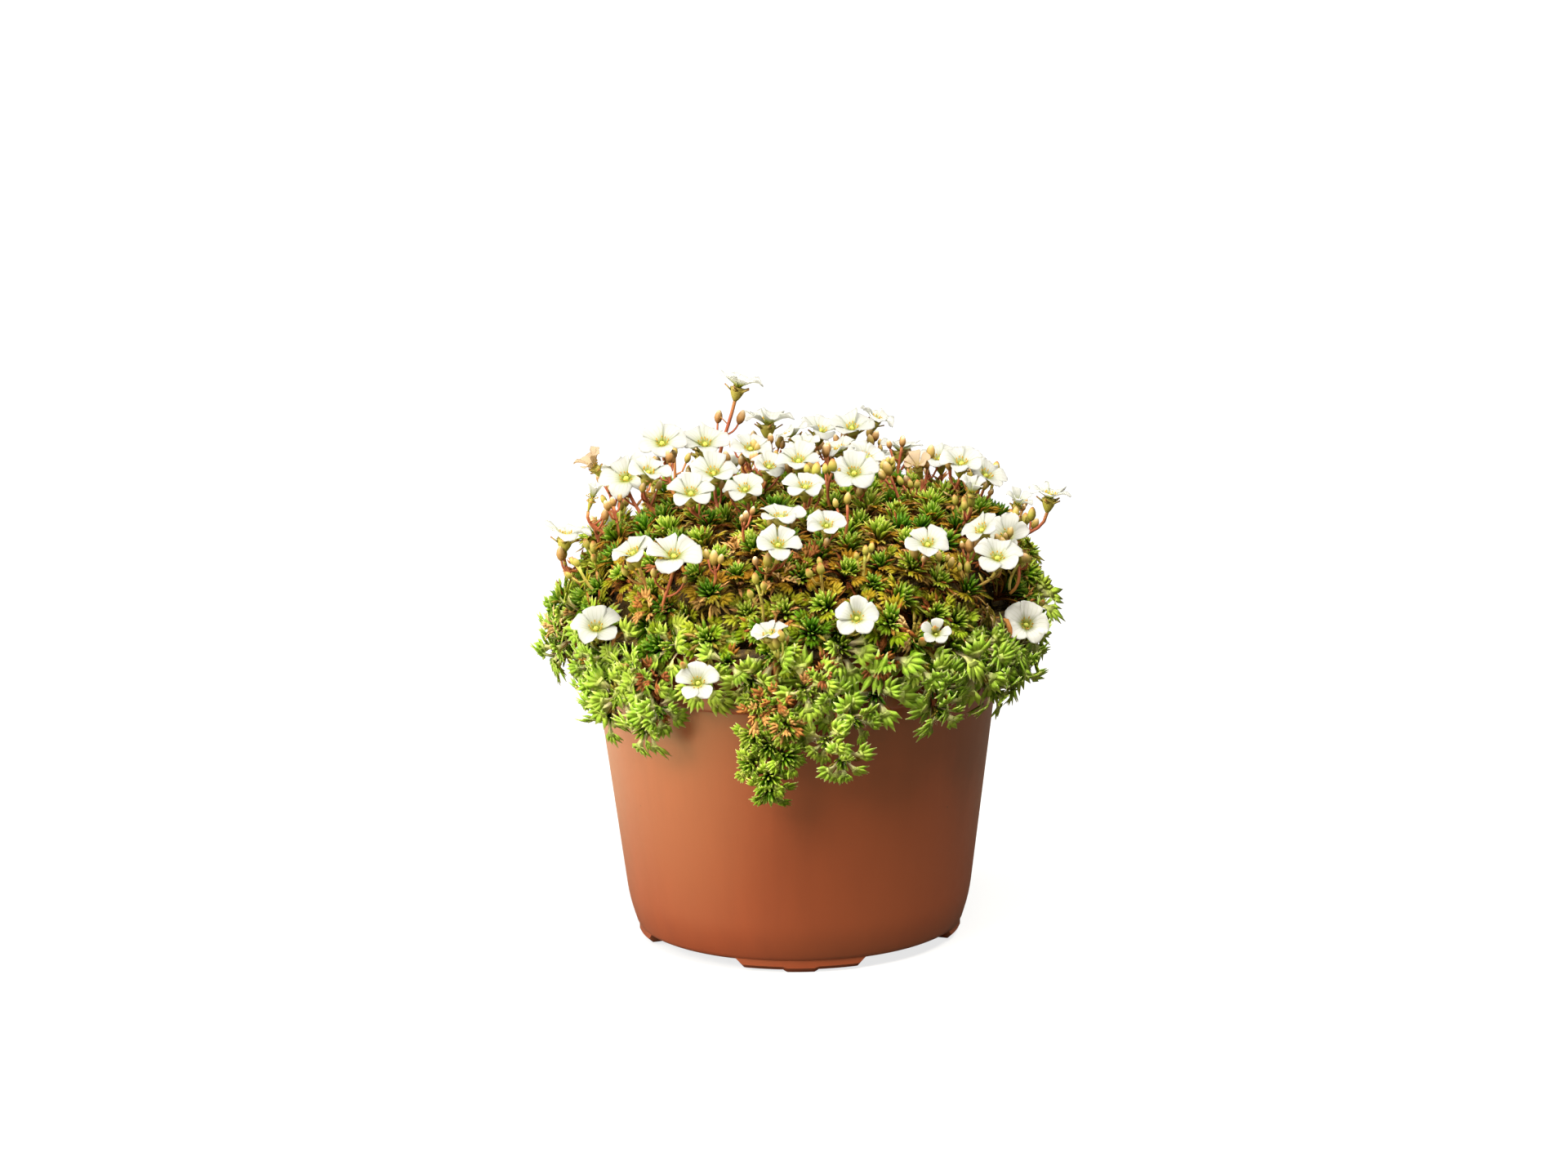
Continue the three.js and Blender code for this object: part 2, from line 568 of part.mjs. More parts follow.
// A stem that widens into the calyx of a bloom and closes just under the petals.
function bloomStem(plan, root, rosette) {
  const top = plan.at.clone().addScaledVector(plan.axis, flower.floor - flower.thickness - flower.gap);
  const end = top.clone().addScaledVector(plan.axis, -flower.calyxLength);
  const curve = stemCurve(root, rosette, end, plan.axis);
  const shares = root.distanceTo(end) > stem.longestStraight ? [0, 0.5, 1] : [0, 1];
  const stations = shares.map((t) => ({ at: curve.getPoint(t), radius: stem.radius }));
  return tube([...stations, { at: top, radius: flower.calyxRadius * mix(0.75, 1, plan.open) }], stem.sides);
}

// A stem that ends in a closed bud.
function budStem({ at, axis }, root) {
  const along = (share) => at.clone().addScaledVector(axis, bud.length * share);
  const stations = [
    { at: root, radius: stem.radius }, { at, radius: stem.radius }, { at: along(0.45), radius: bud.radius },
    { at: along(1), radius: bud.tipRadius },
  ];
  return tube(stations, stem.sides);
}

// Whether a solid stays clear of every bloom; it may come nearer to its own one, but not cross it.
function isClear(solid, own) {
  return clearances.every((grown, i) => solid.intersect(i === own ? petals[i] : grown).volume() < 1e-6);
}

// Of the stems from the nearest rosettes, the one that stays off other blooms and cuts least through leaves.
function bestStem(plan, own, leaves, makeStem) {
  const distance = (rosette) => rosette.at.distanceTo(plan.at);
  const near = [...domeRosettes].sort((a, b) => distance(a) - distance(b)).slice(0, stem.rosettesTried);
  let best = null;
  for (const rosette of near)
    for (const root of stemRoots(rosette)) {
      const rise = plan.at.clone().sub(root).dot(plan.axis);
      if (own !== undefined && rise < stem.leastRise) continue;
      const solid = makeStem(plan, root, rosette);
      const lengthCost = stem.lengthWeight * root.distanceTo(plan.at);
      if ((best && lengthCost >= best.cost) || !isClear(solid, own)) continue;
      const sunk = solid.intersect(leaves).volume();
      const cost = lengthCost + sunk;
      if (sunk > stem.leastSunk && (!best || cost < best.cost)) best = { solid, cost };
    }
  if (!best) throw new Error("no clear stem reaches " + plan.at.toArray());
  return best.solid;
}

// Buds seen in the photograph, by the pixel of their base and how they lean to the right and to the front.
const seenBuds = [
  { u: 677, v: 712, depth: -8, right: -0.3, front: 0.2 },
  { u: 690, v: 748, depth: -16, right: -0.2, front: 0.3 },
  { u: 708, v: 742, depth: -20, right: 0.1, front: 0.3 },
  { u: 735, v: 682, over: 5, right: 0, front: 0.2 },
  { u: 787, v: 650, over: 6, right: -0.1, front: 0.2 },
  { u: 906, v: 512, depth: 20, right: -0.2, front: 0 },
  { u: 1294, v: 785, depth: -16, right: 0.2, front: 0.3 },
  { u: 1120, v: 625, over: 6, right: 0.1, front: 0.2 },
  { u: 885, v: 700, over: 5, right: 0.1, front: 0.4 },
];

// Buds on the far side: degrees round from the front and share of the dome's area above.
const farBuds = [
  { angle: 150, share: 0.42 },
  { angle: 205, share: 0.46 },
  { angle: 127, share: 0.66 },
  { angle: 222, share: 0.66 },
];

function budPlans() {
  const seen = seenBuds.map((seenBud) => {
    return { at: seenAt(seenBud), axis: point(seenBud.right, -seenBud.front, 1).normalize() };
  });
  const far = farBuds.map(({ angle, share }) => {
    const { at, normal } = onDome(share, (angle - 90) * degrees);
    return { at: at.addScaledVector(normal, 7), axis: normal.clone().addScaledVector(up, 1.2).normalize() };
  });
  return [...seen, ...far];
}

// Assembly.

function cushionSolid() {
  const rosettes = [...domeRosettes, ...fringeRosettes].map(rosetteSolid);
  const grown = wasm.Manifold.union([coreSolid(), ...rosettes, ...trails.flatMap(trailSolids)]);
  const leaves = largestBody(grown.subtract(wasm.Manifold.union(clearances)));
  const stems = plans.map((plan, i) => bestStem(plan, i, leaves, bloomStem));
  const budStems = budPlans().map((plan) => bestStem(plan, undefined, leaves, budStem));
  return largestBody(leaves.add(wasm.Manifold.union([...stems, ...budStems])));
}

const looks = {
  pot: { color: 0xa85632, roughness: 0.38 },
  soil: { color: 0x2e2118, roughness: 1 },
  cushion: { color: 0x5f8f2f, roughness: 0.6 },
  petal: { color: 0xf6f6ee, roughness: 0.55 },
};

function meshOf(name, solid, look) {
  const mesh = new THREE.Mesh(geometryOf(solid), new THREE.MeshStandardMaterial({ ...look, metalness: 0 }));
  mesh.name = name;
  return mesh;
}

const plant = new THREE.Group();
plant.add(meshOf("pot", potSolid(), looks.pot));
plant.add(meshOf("soil", soilSolid(), looks.soil));
plant.add(meshOf("cushion", cushionSolid(), looks.cushion));
plans.forEach((plan, i) => plant.add(meshOf(plan.name, petals[i], looks.petal)));

export default plant;
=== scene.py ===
"""A potted mossy saxifrage: satin plastic nursery pot, peat, a cushion of lobed leaf rosettes and white
flowers.

Lengths in the code are millimetres and become metres when a mesh is made. The viewer is on the -Y side.
"""

import math

import bpy
import numpy as np
from mathutils import Matrix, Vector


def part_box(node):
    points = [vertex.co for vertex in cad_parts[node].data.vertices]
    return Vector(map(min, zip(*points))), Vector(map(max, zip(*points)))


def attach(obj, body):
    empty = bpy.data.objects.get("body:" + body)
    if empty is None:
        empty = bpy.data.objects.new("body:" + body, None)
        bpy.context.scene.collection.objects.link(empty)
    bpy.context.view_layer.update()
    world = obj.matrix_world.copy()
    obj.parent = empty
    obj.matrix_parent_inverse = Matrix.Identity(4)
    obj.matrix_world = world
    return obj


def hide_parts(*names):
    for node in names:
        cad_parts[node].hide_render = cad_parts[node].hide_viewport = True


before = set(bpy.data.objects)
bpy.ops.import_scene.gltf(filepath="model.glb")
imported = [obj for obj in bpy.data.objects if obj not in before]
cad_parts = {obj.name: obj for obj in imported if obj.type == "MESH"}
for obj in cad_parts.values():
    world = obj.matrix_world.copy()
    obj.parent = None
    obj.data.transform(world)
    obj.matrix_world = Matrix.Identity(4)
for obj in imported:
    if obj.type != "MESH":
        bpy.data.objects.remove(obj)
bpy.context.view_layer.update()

MM = 0.001
TURN = 2 * math.pi
GOLDEN_ANGLE = math.pi * (3 - math.sqrt(5))
UP = np.array([0.0, 0.0, 1.0])

# The pot: its rim and height from the frame, and the heights of its parts.
RIM_RADIUS, _, POT_HEIGHT = (float(size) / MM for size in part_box("pot")[1])
BAND_HEIGHT = 16.0
BAND_Z = POT_HEIGHT - BAND_HEIGHT
WALL = 1.1
FLOOR_Z = 3.0
FLOOR_THICKNESS = 2.7
INSIDE_FLOOR = FLOOR_Z + FLOOR_THICKNESS
PEAT_TOP = float(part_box("soil")[1][2]) / MM

# The dome that the crowns of the rosettes lie on: a superellipse over the rim, and how far the crowns
# above its base lean to the right.
DOME_RADIUS = 60.0
DOME_BASE = 89.0
DOME_RISE = 31.0
DOME_POWER = 2.8
LEAN = 3.0

# Shoots that trail down the pot: degrees from the front, lowest drop below the rim, and reach of the
# leaves.
TRAILS = (
    (-6.0, 35.0, 8.0), (9.5, 28.0, 8.6), (-51.0, 20.0, 9.6), (-38.0, 22.0, 9.2), (-57.0, 16.0, 9.0),
    (34.0, 17.0, 9.8), (54.0, 16.0, 9.8), (150.0, 19.0, 9.6), (222.0, 21.0, 9.6), (100.0, 13.0, 9.0),
    (-92.0, 14.0, 9.0), (66.0, 14.0, 9.4),
)
TRAIL_POINTS = 9

# The large leaves of each rosette of the fringe and the trailing shoots.
HANGING = {"count": 7, "tilts": (1.0, 1.55), "lengths": (0.85, 1.3), "depth": 3.4}

# Withered rosettes along the rim, most of them above the front trail: degrees from the right side, and
# height.
WITHERED_AT_RIM = (
    (-99.0, 76.0), (-95.0, 80.0), (-92.5, 73.5), (-84.0, 87.5), (-71.0, 89.0), (-62.0, 96.0), (-125.0, 84.0),
    (-20.0, 88.0), (60.0, 89.0), (130.0, 86.0), (190.0, 88.0),
)

# The blooms of the frame, the places of the withered ones among them, counted from 0, and the radius of a
# usual bloom, to which the widths of calyxes and the heights of stamens belong. The half width of a petal's
# rows is a share of its length, as the rows are.
BLOOMS = sorted(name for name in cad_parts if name.startswith("bloom_"))
WITHERED_BLOOMS = (7, 26)
BLOOM_RADIUS = 6.6
CALYX_LENGTH = 3.9
PETALS = 5
PETAL_ROWS = np.array([0.0, 0.14, 0.32, 0.54, 0.76, 0.92, 1.0])
PETAL_HALF_WIDTH = np.array([0.1, 0.17, 0.3, 0.44, 0.46, 0.33, 0.16])


# Arrays.


def unit(vectors):
    """Each vector over its own length."""
    return vectors / np.maximum(np.linalg.norm(vectors, axis=-1, keepdims=True), 1e-9)


def mix(a, b, t):
    """a where t is 0, b where t is 1."""
    return a + (b - a) * t


def smooth(t):
    """A step from 0 to 1 that starts and ends level: t squared times (3 minus 2 t)."""
    t = np.clip(t, 0, 1)
    return t * t * (3 - 2 * t)


def turned(first, second, angle):
    """Directions at an angle from the first towards the second: cosine times first plus sine times
    second."""
    return first * np.cos(angle)[..., None] + second * np.sin(angle)[..., None]


def fan(first, second, count, shift=0.0):
    """A row of directions in equal steps round each axis, from two that lie across it, each turned on by
    a shift."""
    return turned(first[:, None], second[:, None], np.arange(count) * TURN / count + shift).reshape(-1, 3)


def across(axis, rng=None):
    """Two directions across each axis, at right angles, turned about it by a random angle if there are
    draws."""
    helper = np.where(np.abs(axis[..., 2:3]) > 0.95, np.array([0.0, 1.0, 0.0]), UP)
    side = unit(np.cross(helper, axis))
    spin = rng.uniform(0, TURN, len(axis)) if rng else np.zeros(len(axis))
    u = turned(side, np.cross(axis, side), spin)
    return u, np.cross(axis, u)


def ripple(points, size, seed):
    """Soft noise from about -1 to 1: the mean of sine waves of a given length in random directions."""
    rng = np.random.default_rng(seed)
    waves = 7
    turns = rng.normal(size=(3, waves))
    turns *= TURN / size / np.linalg.norm(turns, axis=0)
    phases = rng.uniform(0, TURN, waves)
    return 1.6 * np.sin(points @ turns + phases).mean(axis=-1)


def polar(radius, angle, z):
    """Points by distance from the pot's axis, angle and height."""
    radius, angle, z = np.broadcast_arrays(radius, angle, z)
    return np.stack([radius * np.cos(angle), radius * np.sin(angle), z], axis=-1)


def straight(start, way, shares):
    """Points at shares along straight lines: start + share * way."""
    return start[:, None] + way[:, None] * np.asarray(shares)[..., None]


def bezier(start, bend, end, t):
    """Points at shares t along quadratic curves: (1-t)^2 start + 2 t (1-t) bend + t^2 end."""
    t = np.asarray(t)[:, None]
    start, bend, end = start[..., None, :], bend[..., None, :], end[..., None, :]
    return start * (1 - t) ** 2 + bend * 2 * t * (1 - t) + end * t**2


# Closed surfaces. Each is (points, list of polygon arrays by corner count, growth of each point as four
# numbers). The growth numbers are part, along, age and extra. They drive the colours of the materials.

KEELED = np.array([[-0.5, 0.15], [0.0, -0.6], [0.5, 0.15]])


def growth_of(shape, part=0.0, along=0.0, age=0.0, extra=0.0):
    """Four numbers for each point, each of them one number or an array that fits the shape."""
    numbers = (part, along, age, extra)
    return np.stack([np.broadcast_to(np.asarray(x, float), shape) for x in numbers], axis=-1)


def outward(points, polygons, growth):
    """The surface with its faces turned out: the sum over faces of centre dot area vector is positive."""
    volume = 0.0
    for faces in polygons:
        corners = points[faces]
        centre = corners.mean(axis=1)
        spokes = corners - centre[:, None]
        area = sum(np.cross(spokes[:, i], spokes[:, i - 1]) for i in range(faces.shape[1]))
        volume -= float((centre * area).sum())
    if volume < 0:
        polygons = [faces[:, ::-1] for faces in polygons]
    return points, polygons, growth


def bars(points, *growth):
    """Closed bars from points by bar, station and corner of the section. One polygon closes each end."""
    count, stations, corners = points.shape[:3]
    first = (np.arange(count) * stations * corners)[:, None, None]
    base = first + (np.arange(stations - 1) * corners)[None, :, None]
    k = np.arange(corners)
    after = (k + 1) % corners
    quads = np.stack([base + k, base + after, base + after + corners, base + k + corners], axis=-1)
    start_caps = first[:, 0] + k[::-1]
    end_caps = first[:, 0] + (stations - 1) * corners + k
    tone = growth_of((count, stations), *growth)[:, :, None]
    tone = np.broadcast_to(tone, (count, stations, corners, 4)).reshape(-1, 4)
    return outward(points.reshape(-1, 3), [quads.reshape(-1, 4), start_caps, end_caps], tone)


def swept(path, side, normal, width, thickness, section, *growth):
    """Closed bars along paths by bar and station.

    The section's corner (a, b) lies at path + a * width * side + b * thickness * normal. Side and normal
    are one direction for each bar or for each station.
    """
    a, b = section.T
    width, thickness = (np.broadcast_to(x, path.shape[:2])[..., None, None] for x in (width, thickness))
    side, normal = (way.reshape(len(path), -1, 1, 3) for way in (side, normal))
    return bars(path[:, :, None] + side * width * a[:, None] + normal * thickness * b[:, None], *growth)


def tubes(path, width, corners, *growth):
    """Closed round bars along paths: the side direction stays as near as it can to the first one."""
    along = unit(np.gradient(path, axis=1))
    first = across(along[:, 0])[0][:, None]
    side = unit(first - along * (along * first).sum(-1, keepdims=True))
    turn = np.arange(corners) * TURN / corners
    section = 0.5 * np.stack([np.cos(turn), np.sin(turn)], axis=-1)
    return swept(path, side, np.cross(along, side), width, width, section, *growth)


def sheets(top, bottom, growth):
    """Closed thin sheets between two grids of points each, by sheet, row and column, joined round their
    edges."""
    count, rows, columns = top.shape[:3]
    size = rows * columns
    grid = np.arange(size).reshape(rows, columns)
    corners = [grid[:-1, :-1], grid[:-1, 1:], grid[1:, 1:], grid[1:, :-1]]
    quads_top = np.stack(corners, axis=-1).reshape(-1, 4)
    edge = np.concatenate([grid[0, :-1], grid[:-1, -1], grid[-1, :0:-1], grid[:0:-1, 0]])
    after = np.roll(edge, -1)
    rim = np.stack([after, edge, edge + size, after + size], axis=-1)
    one = np.concatenate([quads_top, quads_top[:, ::-1] + size, rim])
    quads = (np.arange(count) * 2 * size)[:, None, None] + one
    points = np.concatenate([top.reshape(count, size, 3), bottom.reshape(count, size, 3)], axis=1)
    both = np.concatenate([growth.reshape(count, size, 4)] * 2, axis=1)
    return outward(points.reshape(-1, 3), [quads.reshape(-1, 4)], both.reshape(-1, 4))


def lathed(profile, segments):
    """A closed surface of revolution: the profile of [radius, height] rows is carried round the axis, and
    its first and last rows, both on the axis, are single points."""
    profile = np.asarray(profile, float)
    angles = np.arange(segments) * TURN / segments
    ring = polar(profile[1:-1, 0][:, None], angles[None, :], profile[1:-1, 1][:, None])
    index = np.arange(len(ring) * segments).reshape(-1, segments)
    after = np.roll(index, -1, axis=1)
    quads = np.stack([index[:-1], after[:-1], after[1:], index[1:]], axis=-1).reshape(-1, 4)
    poles = np.array([[0, 0, profile[0, 1]], [0, 0, profile[-1, 1]]])
    pole = np.full(segments, index.size)
    fans = [
        np.stack([after[0], index[0], pole], axis=-1),
        np.stack([index[-1], after[-1], pole + 1], axis=-1),
    ]
    points = np.concatenate([ring.reshape(-1, 3), poles])
    return outward(points, [quads, *fans], growth_of(len(points)))


def piece(name, surfaces, material, stands_for):
    """One object from closed surfaces, with its growth numbers as a colour attribute, riding on the root
    body."""
    points = np.concatenate([surface[0] for surface in surfaces]) * MM
    growth = np.concatenate([surface[2] for surface in surfaces]).astype(np.float32)
    corners, counts = [], []
    offset = 0
    for surface in surfaces:
        for faces in surface[1]:
            corners.append((faces + offset).ravel())
            counts.append(np.full(len(faces), faces.shape[1]))
        offset += len(surface[0])
    corners = np.concatenate(corners).astype(np.int32)
    starts = np.concatenate([[0], np.cumsum(np.concatenate(counts))[:-1]]).astype(np.int32)
    mesh = bpy.data.meshes.new(name)
    mesh.vertices.add(len(points))
    mesh.vertices.foreach_set("co", points.astype(np.float32).ravel())
    mesh.loops.add(len(corners))
    mesh.loops.foreach_set("vertex_index", corners)
    mesh.polygons.add(len(starts))
    mesh.polygons.foreach_set("loop_start", starts)
    mesh.polygons.foreach_set("use_smooth", np.full(len(starts), True))
    mesh.update(calc_edges=True)
    mesh.color_attributes.new("growth", "FLOAT_COLOR", "POINT").data.foreach_set("color", growth.ravel())
    mesh.materials.append(material)
    thing = bpy.data.objects.new(name, mesh)
    bpy.context.scene.collection.objects.link(thing)
    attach(thing, "root")
    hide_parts(*stands_for)
    return thing


# Materials. Each is a function of a node tree that gives its shader, and the material has the function's
# name.

# On a Mix node for colours, the inputs with the share and the two colours, and the settings.
SHARE, A, B = 0, 6, 7
MIXED = {"output": 2, "data_type": "RGBA"}
MULTIPLIED = {**MIXED, "blend_type": "MULTIPLY"}


def colour(hex_code):
    """A linear colour with alpha 1 from an sRGB hex value."""
    values = [int(hex_code[i : i + 2], 16) / 255 for i in (1, 3, 5)]
    linear = [v / 12.92 if v <= 0.04045 else ((v + 0.055) / 1.055) ** 2.4 for v in values]
    return (*linear, 1.0)


def node(tree, kind, inputs=(), output=0, stops=None, **settings):
    """Adds a node with its settings, and on a ramp its stops. The inputs are in the sockets' order or by
    their names, each a number, a hex colour or a socket to link. Gives one of its outputs."""
    made = tree.nodes.new("ShaderNode" + kind)
    for name, value in settings.items():
        setattr(made, name, value)
    if stops:
        band = made.color_ramp.elements
        while len(band) < len(stops):
            band.new(0.5)
        for element, (place, hex_code) in zip(band, stops.items()):
            element.position = place
            element.color = colour(hex_code)
    for key, value in inputs.items() if isinstance(inputs, dict) else enumerate(inputs):
        if isinstance(value, bpy.types.NodeSocket):
            tree.links.new(value, made.inputs[key])
        else:
            made.inputs[key].default_value = colour(value) if isinstance(value, str) else value
    return made.outputs[output] if made.outputs else None


def made_of(skin):
    """A new material whose surface is what a function gives for its node tree."""
    material = bpy.data.materials.new(skin.__name__)
    material.use_nodes = True
    tree = material.node_tree
    tree.nodes.clear()
    node(tree, "OutputMaterial", {"Surface": skin(tree)})
    return material


def growth_sockets(tree):
    """The growth attribute as four sockets: part, along, age and extra."""
    first_three = node(tree, "Attribute", output="Color", attribute_name="growth")
    part = node(tree, "SeparateColor", [first_three])
    return *part.node.outputs, first_three.node.outputs["Alpha"]


def patches(place, size, detail):
    """The inputs of a noise with patches of about a given size."""
    return {"Vector": place, "Scale": 1 / (size * MM), "Detail": detail, "Roughness": 0.6}


def crumbs(tree, size, detail, stops, lump, lump_detail, strength, depth, roughness):
    """A dull, crumbly surface: a ramp over noise of one size, with bumps from noise of another."""
    place = node(tree, "TexCoord", output="Object")
    base = node(tree, "ValToRGB", [node(tree, "TexNoise", patches(place, size, detail))], stops=stops)
    height = node(tree, "TexNoise", patches(place, lump, lump_detail))
    normal = node(tree, "Bump", {"Height": height, "Strength": strength, "Distance": depth * MM})
    return node(tree, "BsdfPrincipled", {"Base Color": base, "Normal": normal, "Roughness": roughness})


def plant_skin(tree, base, roughness, share, through, gloss=0.3):
    """A soft plant surface: a principled shader mixed with a share of light that comes through from
    behind."""
    values = {"Base Color": base, "Roughness": roughness, "IOR": 1.42, "Specular IOR Level": gloss}
    skin = node(tree, "BsdfPrincipled", values)
    tint = node(tree, "Mix", {SHARE: 1.0, A: base, B: through}, **MULTIPLIED)
    glow = node(tree, "BsdfTranslucent", {"Color": tint})
    return node(tree, "MixShader", [share, skin, glow])


def flushed_skin(tree, green, red, low, high, roughness, share, through):
    """A plant skin that goes from a green ramp along it to a red one as the growth number part goes from
    low to high."""
    part, along, _, _ = growth_sockets(tree)
    redness = node(tree, "MapRange", [part, low, high])
    green, red = (node(tree, "ValToRGB", [along], stops=stops) for stops in (green, red))
    base = node(tree, "Mix", {SHARE: redness, A: green, B: red}, **MIXED)
    return plant_skin(tree, base, roughness, share, through)


def moulded_polypropylene(tree):
    """Injection-moulded, terracotta-coloured polypropylene: satin, with faint flow streaks up the wall and
    specks of dirt, which break up its wide soft highlight."""
    place = node(tree, "TexCoord", output="Object")
    tall = node(tree, "Mapping", {"Vector": place, "Scale": (1.0, 1.0, 0.12)})
    streak = node(tree, "TexNoise", patches(tall, 7, 4))
    base = node(tree, "ValToRGB", [streak], stops={0.3: "#85381e", 0.7: "#8f3e21"})
    sizes = ((38, 2), (4, 1), (3, 3), (0.8, 2))
    cloud, grain, satin, fine = (node(tree, "TexNoise", patches(place, *size)) for size in sizes)
    cloudy = node(tree, "MapRange", [cloud, 0.35, 0.75])
    base = node(tree, "Mix", {SHARE: cloudy, A: base, B: "#8a3c1f"}, **MIXED)
    speck = node(tree, "TexVoronoi", {"Vector": place, "Scale": 1 / (5.5 * MM), "Randomness": 1.0})
    dots = node(tree, "MapRange", [speck, 0.05, 0.035])
    rare = node(tree, "MapRange", [grain, 0.58, 0.62])
    dirt = node(tree, "Math", [dots, rare], operation="MULTIPLY")
    base = node(tree, "Mix", {SHARE: dirt, A: base, B: "#3c1d12"}, **MIXED)
    rough = node(tree, "MapRange", {"Value": satin, "To Min": 0.33, "To Max": 0.41})
    normal = node(tree, "Bump", {"Height": fine, "Strength": 0.04, "Distance": 0.1 * MM})
    gloss = {"IOR": 1.49, "Specular IOR Level": 1.0, "Specular Tint": "#ffffd0"}
    return node(tree, "BsdfPrincipled", {"Base Color": base, "Roughness": rough, "Normal": normal, **gloss})


def milled_peat(tree):
    """Milled black peat: dull, dark brown crumbs with a few pale ones, like dry fibre, among them."""
    stops = {0.3: "#120c08", 0.5: "#2b1e15", 0.68: "#4a3524", 0.78: "#7a6248"}
    return crumbs(tree, 2.2, 6, stops, 1.4, 5, strength=0.8, depth=1.2, roughness=0.95)


def old_shoots(tree):
    """The dense mat of old brown shoots and shaded leaf bases under the rosettes."""
    stops = {0.3: "#221806", 0.48: "#48340c", 0.6: "#6a5a16", 0.75: "#94803a"}
    return crumbs(tree, 2.4, 5, stops, 1.6, 4, strength=1.0, depth=1.5, roughness=0.9)


def living_leaf(tree):
    """Fleshy saxifrage leaf: yellow-green stalk, bright green fingers, a pale point on each. Its waxy
    skin gives small soft highlights and lets some light through. Young leaves are deeper green, those of
    the fringe are pale and woolly, and patches of the cushion's top turn olive brown. Along each leaf
    the colour also holds painted shade, darker at the bases of the fingers deep in the rosette, and
    painted light, lighter towards the points. The fringe's leaves are painted paler still for the
    grazing light they get."""
    part, along, age, pale = growth_sockets(tree)
    # Painted shade and painted light: each ramp is darker at the fingers' bases, deep in the rosette, and
    # lighter towards the points, on top of the leaf's own colour.
    stops = (
        {0.0: "#42540a", 0.4: "#4e7a06", 0.7: "#74a016", 0.92: "#aabe48", 1.0: "#e0e090"},
        {0.0: "#b08038", 0.3: "#bca63a", 0.48: "#acb22e", 0.66: "#86a80a", 0.9: "#a2c01e", 1.0: "#f0e890"},
        {
            0.0: "#dcb08c", 0.2: "#f0dcb4", 0.45: "#d8e08c", 0.62: "#bad652", 0.82: "#a0ca3a",
            0.94: "#c6de70", 1.0: "#f6f2c8",
        },
    )
    young, grown, woolly = (node(tree, "ValToRGB", [along], stops=band) for band in stops)
    # Painted light: the fringe's woolly ramp is paler than the leaves' own whitish green, to make up for the
    # grazing light they get.
    grown = node(tree, "Mix", {SHARE: pale, A: grown, B: woolly}, **MIXED)
    old = node(tree, "MapRange", [age, 0.1, 0.55])
    base = node(tree, "Mix", {SHARE: old, A: young, B: grown}, **MIXED)
    warm = node(tree, "Mix", {SHARE: 0.25, A: base, B: "#bcb84c"}, **MIXED)
    warmth = node(tree, "MapRange", [part, 0.6, 1.0])
    base = node(tree, "Mix", {SHARE: warmth, A: base, B: warm}, **MIXED)
    deep = node(tree, "Mix", {SHARE: 1.0, A: base, B: "#80a868"}, **MULTIPLIED)
    # Painted light as well: the pale leaves of the fringe take little of the deep tone.
    dark, green = node(tree, "MapRange", [part, 0.75, 0.1]), node(tree, "MapRange", [pale, 1.25, 0.0])
    deepness = node(tree, "Math", [dark, green], operation="MULTIPLY")
    base = node(tree, "Mix", {SHARE: deepness, A: base, B: deep}, **MIXED)
    place = node(tree, "TexCoord", output="Object")
    height = node(tree, "SeparateXYZ", [place], "Z")
    patch = node(tree, "MapRange", [node(tree, "TexNoise", patches(place, 14, 3)), 0.27, 0.47])
    top = node(tree, "MapRange", [height, 94 * MM, 110 * MM])
    tinted = node(tree, "Math", [patch, top], operation="MULTIPLY")
    older = node(tree, "MapRange", [age, 0.2, 0.5])
    tinted = node(tree, "Math", [tinted, older], operation="MULTIPLY")
    olive = node(tree, "Mix", {SHARE: 0.85, A: base, B: "#a8701e"}, **MIXED)
    base = node(tree, "Mix", {SHARE: tinted, A: base, B: olive}, **MIXED)
    return plant_skin(tree, base, 0.45, 0.28, "#f4f870", gloss=0.16)


def withered_leaf(tree):
    """Withered leaf: thin, dry and papery, from straw and orange to rust brown."""
    part, along, _, rusty = growth_sockets(tree)
    stops = (
        {0.0: "#84461a", 0.25: "#9a6420", 0.5: "#8c7a22", 0.75: "#9a9038", 1.0: "#c28c54"},
        {0.0: "#96582e", 0.45: "#b87838", 0.8: "#d8a860", 1.0: "#dfc288"},
    )
    straw, rust = (node(tree, "ValToRGB", [part], stops=band) for band in stops)
    base = node(tree, "Mix", {SHARE: rusty, A: straw, B: rust}, **MIXED)
    inner = node(tree, "MapRange", [along, 0.4, 0.0])
    base = node(tree, "Mix", {SHARE: inner, A: base, B: "#b59a7a"}, **MULTIPLIED)
    return plant_skin(tree, base, 0.75, 0.2, "#ffd9a0")


def downy_stem(tree):
    """Downy flower stem: olive where it is young, flushed red-brown in the light, dull from its short
    hairs."""
    green = {0.0: "#b8b45c", 0.5: "#b8a24c", 1.0: "#b4bc58"}
    red = {0.0: "#b8843c", 0.4: "#ae6640", 0.8: "#a4563c", 1.0: "#b88048"}
    return flushed_skin(tree, green, red, 0.35, 0.65, 0.6, 0.12, "#ffe0b0")


def calyx_and_bud(tree):
    """Sticky yellow-green calyx and bud, flushed red-brown towards the sepal tips."""
    green = {0.0: "#969038", 0.45: "#aaa644", 0.8: "#bca65a", 1.0: "#a86436"}
    red = {0.0: "#8c5c34", 0.4: "#a87c48", 0.75: "#bc9866", 1.0: "#ecdcb8"}
    return flushed_skin(tree, green, red, 0.45, 0.75, 0.5, 0.18, "#f2f0a0")


def woolly_hair(tree):
    """Whitish hairs, thin enough to let much of the light through."""
    place = node(tree, "TexCoord", output="Object")
    cloud = node(tree, "TexNoise", patches(place, 3, 2))
    base = node(tree, "ValToRGB", [cloud], stops={0.3: "#d8cfa8", 0.7: "#f0ead0"})
    return plant_skin(tree, base, 0.8, 0.4, "#ffffff")


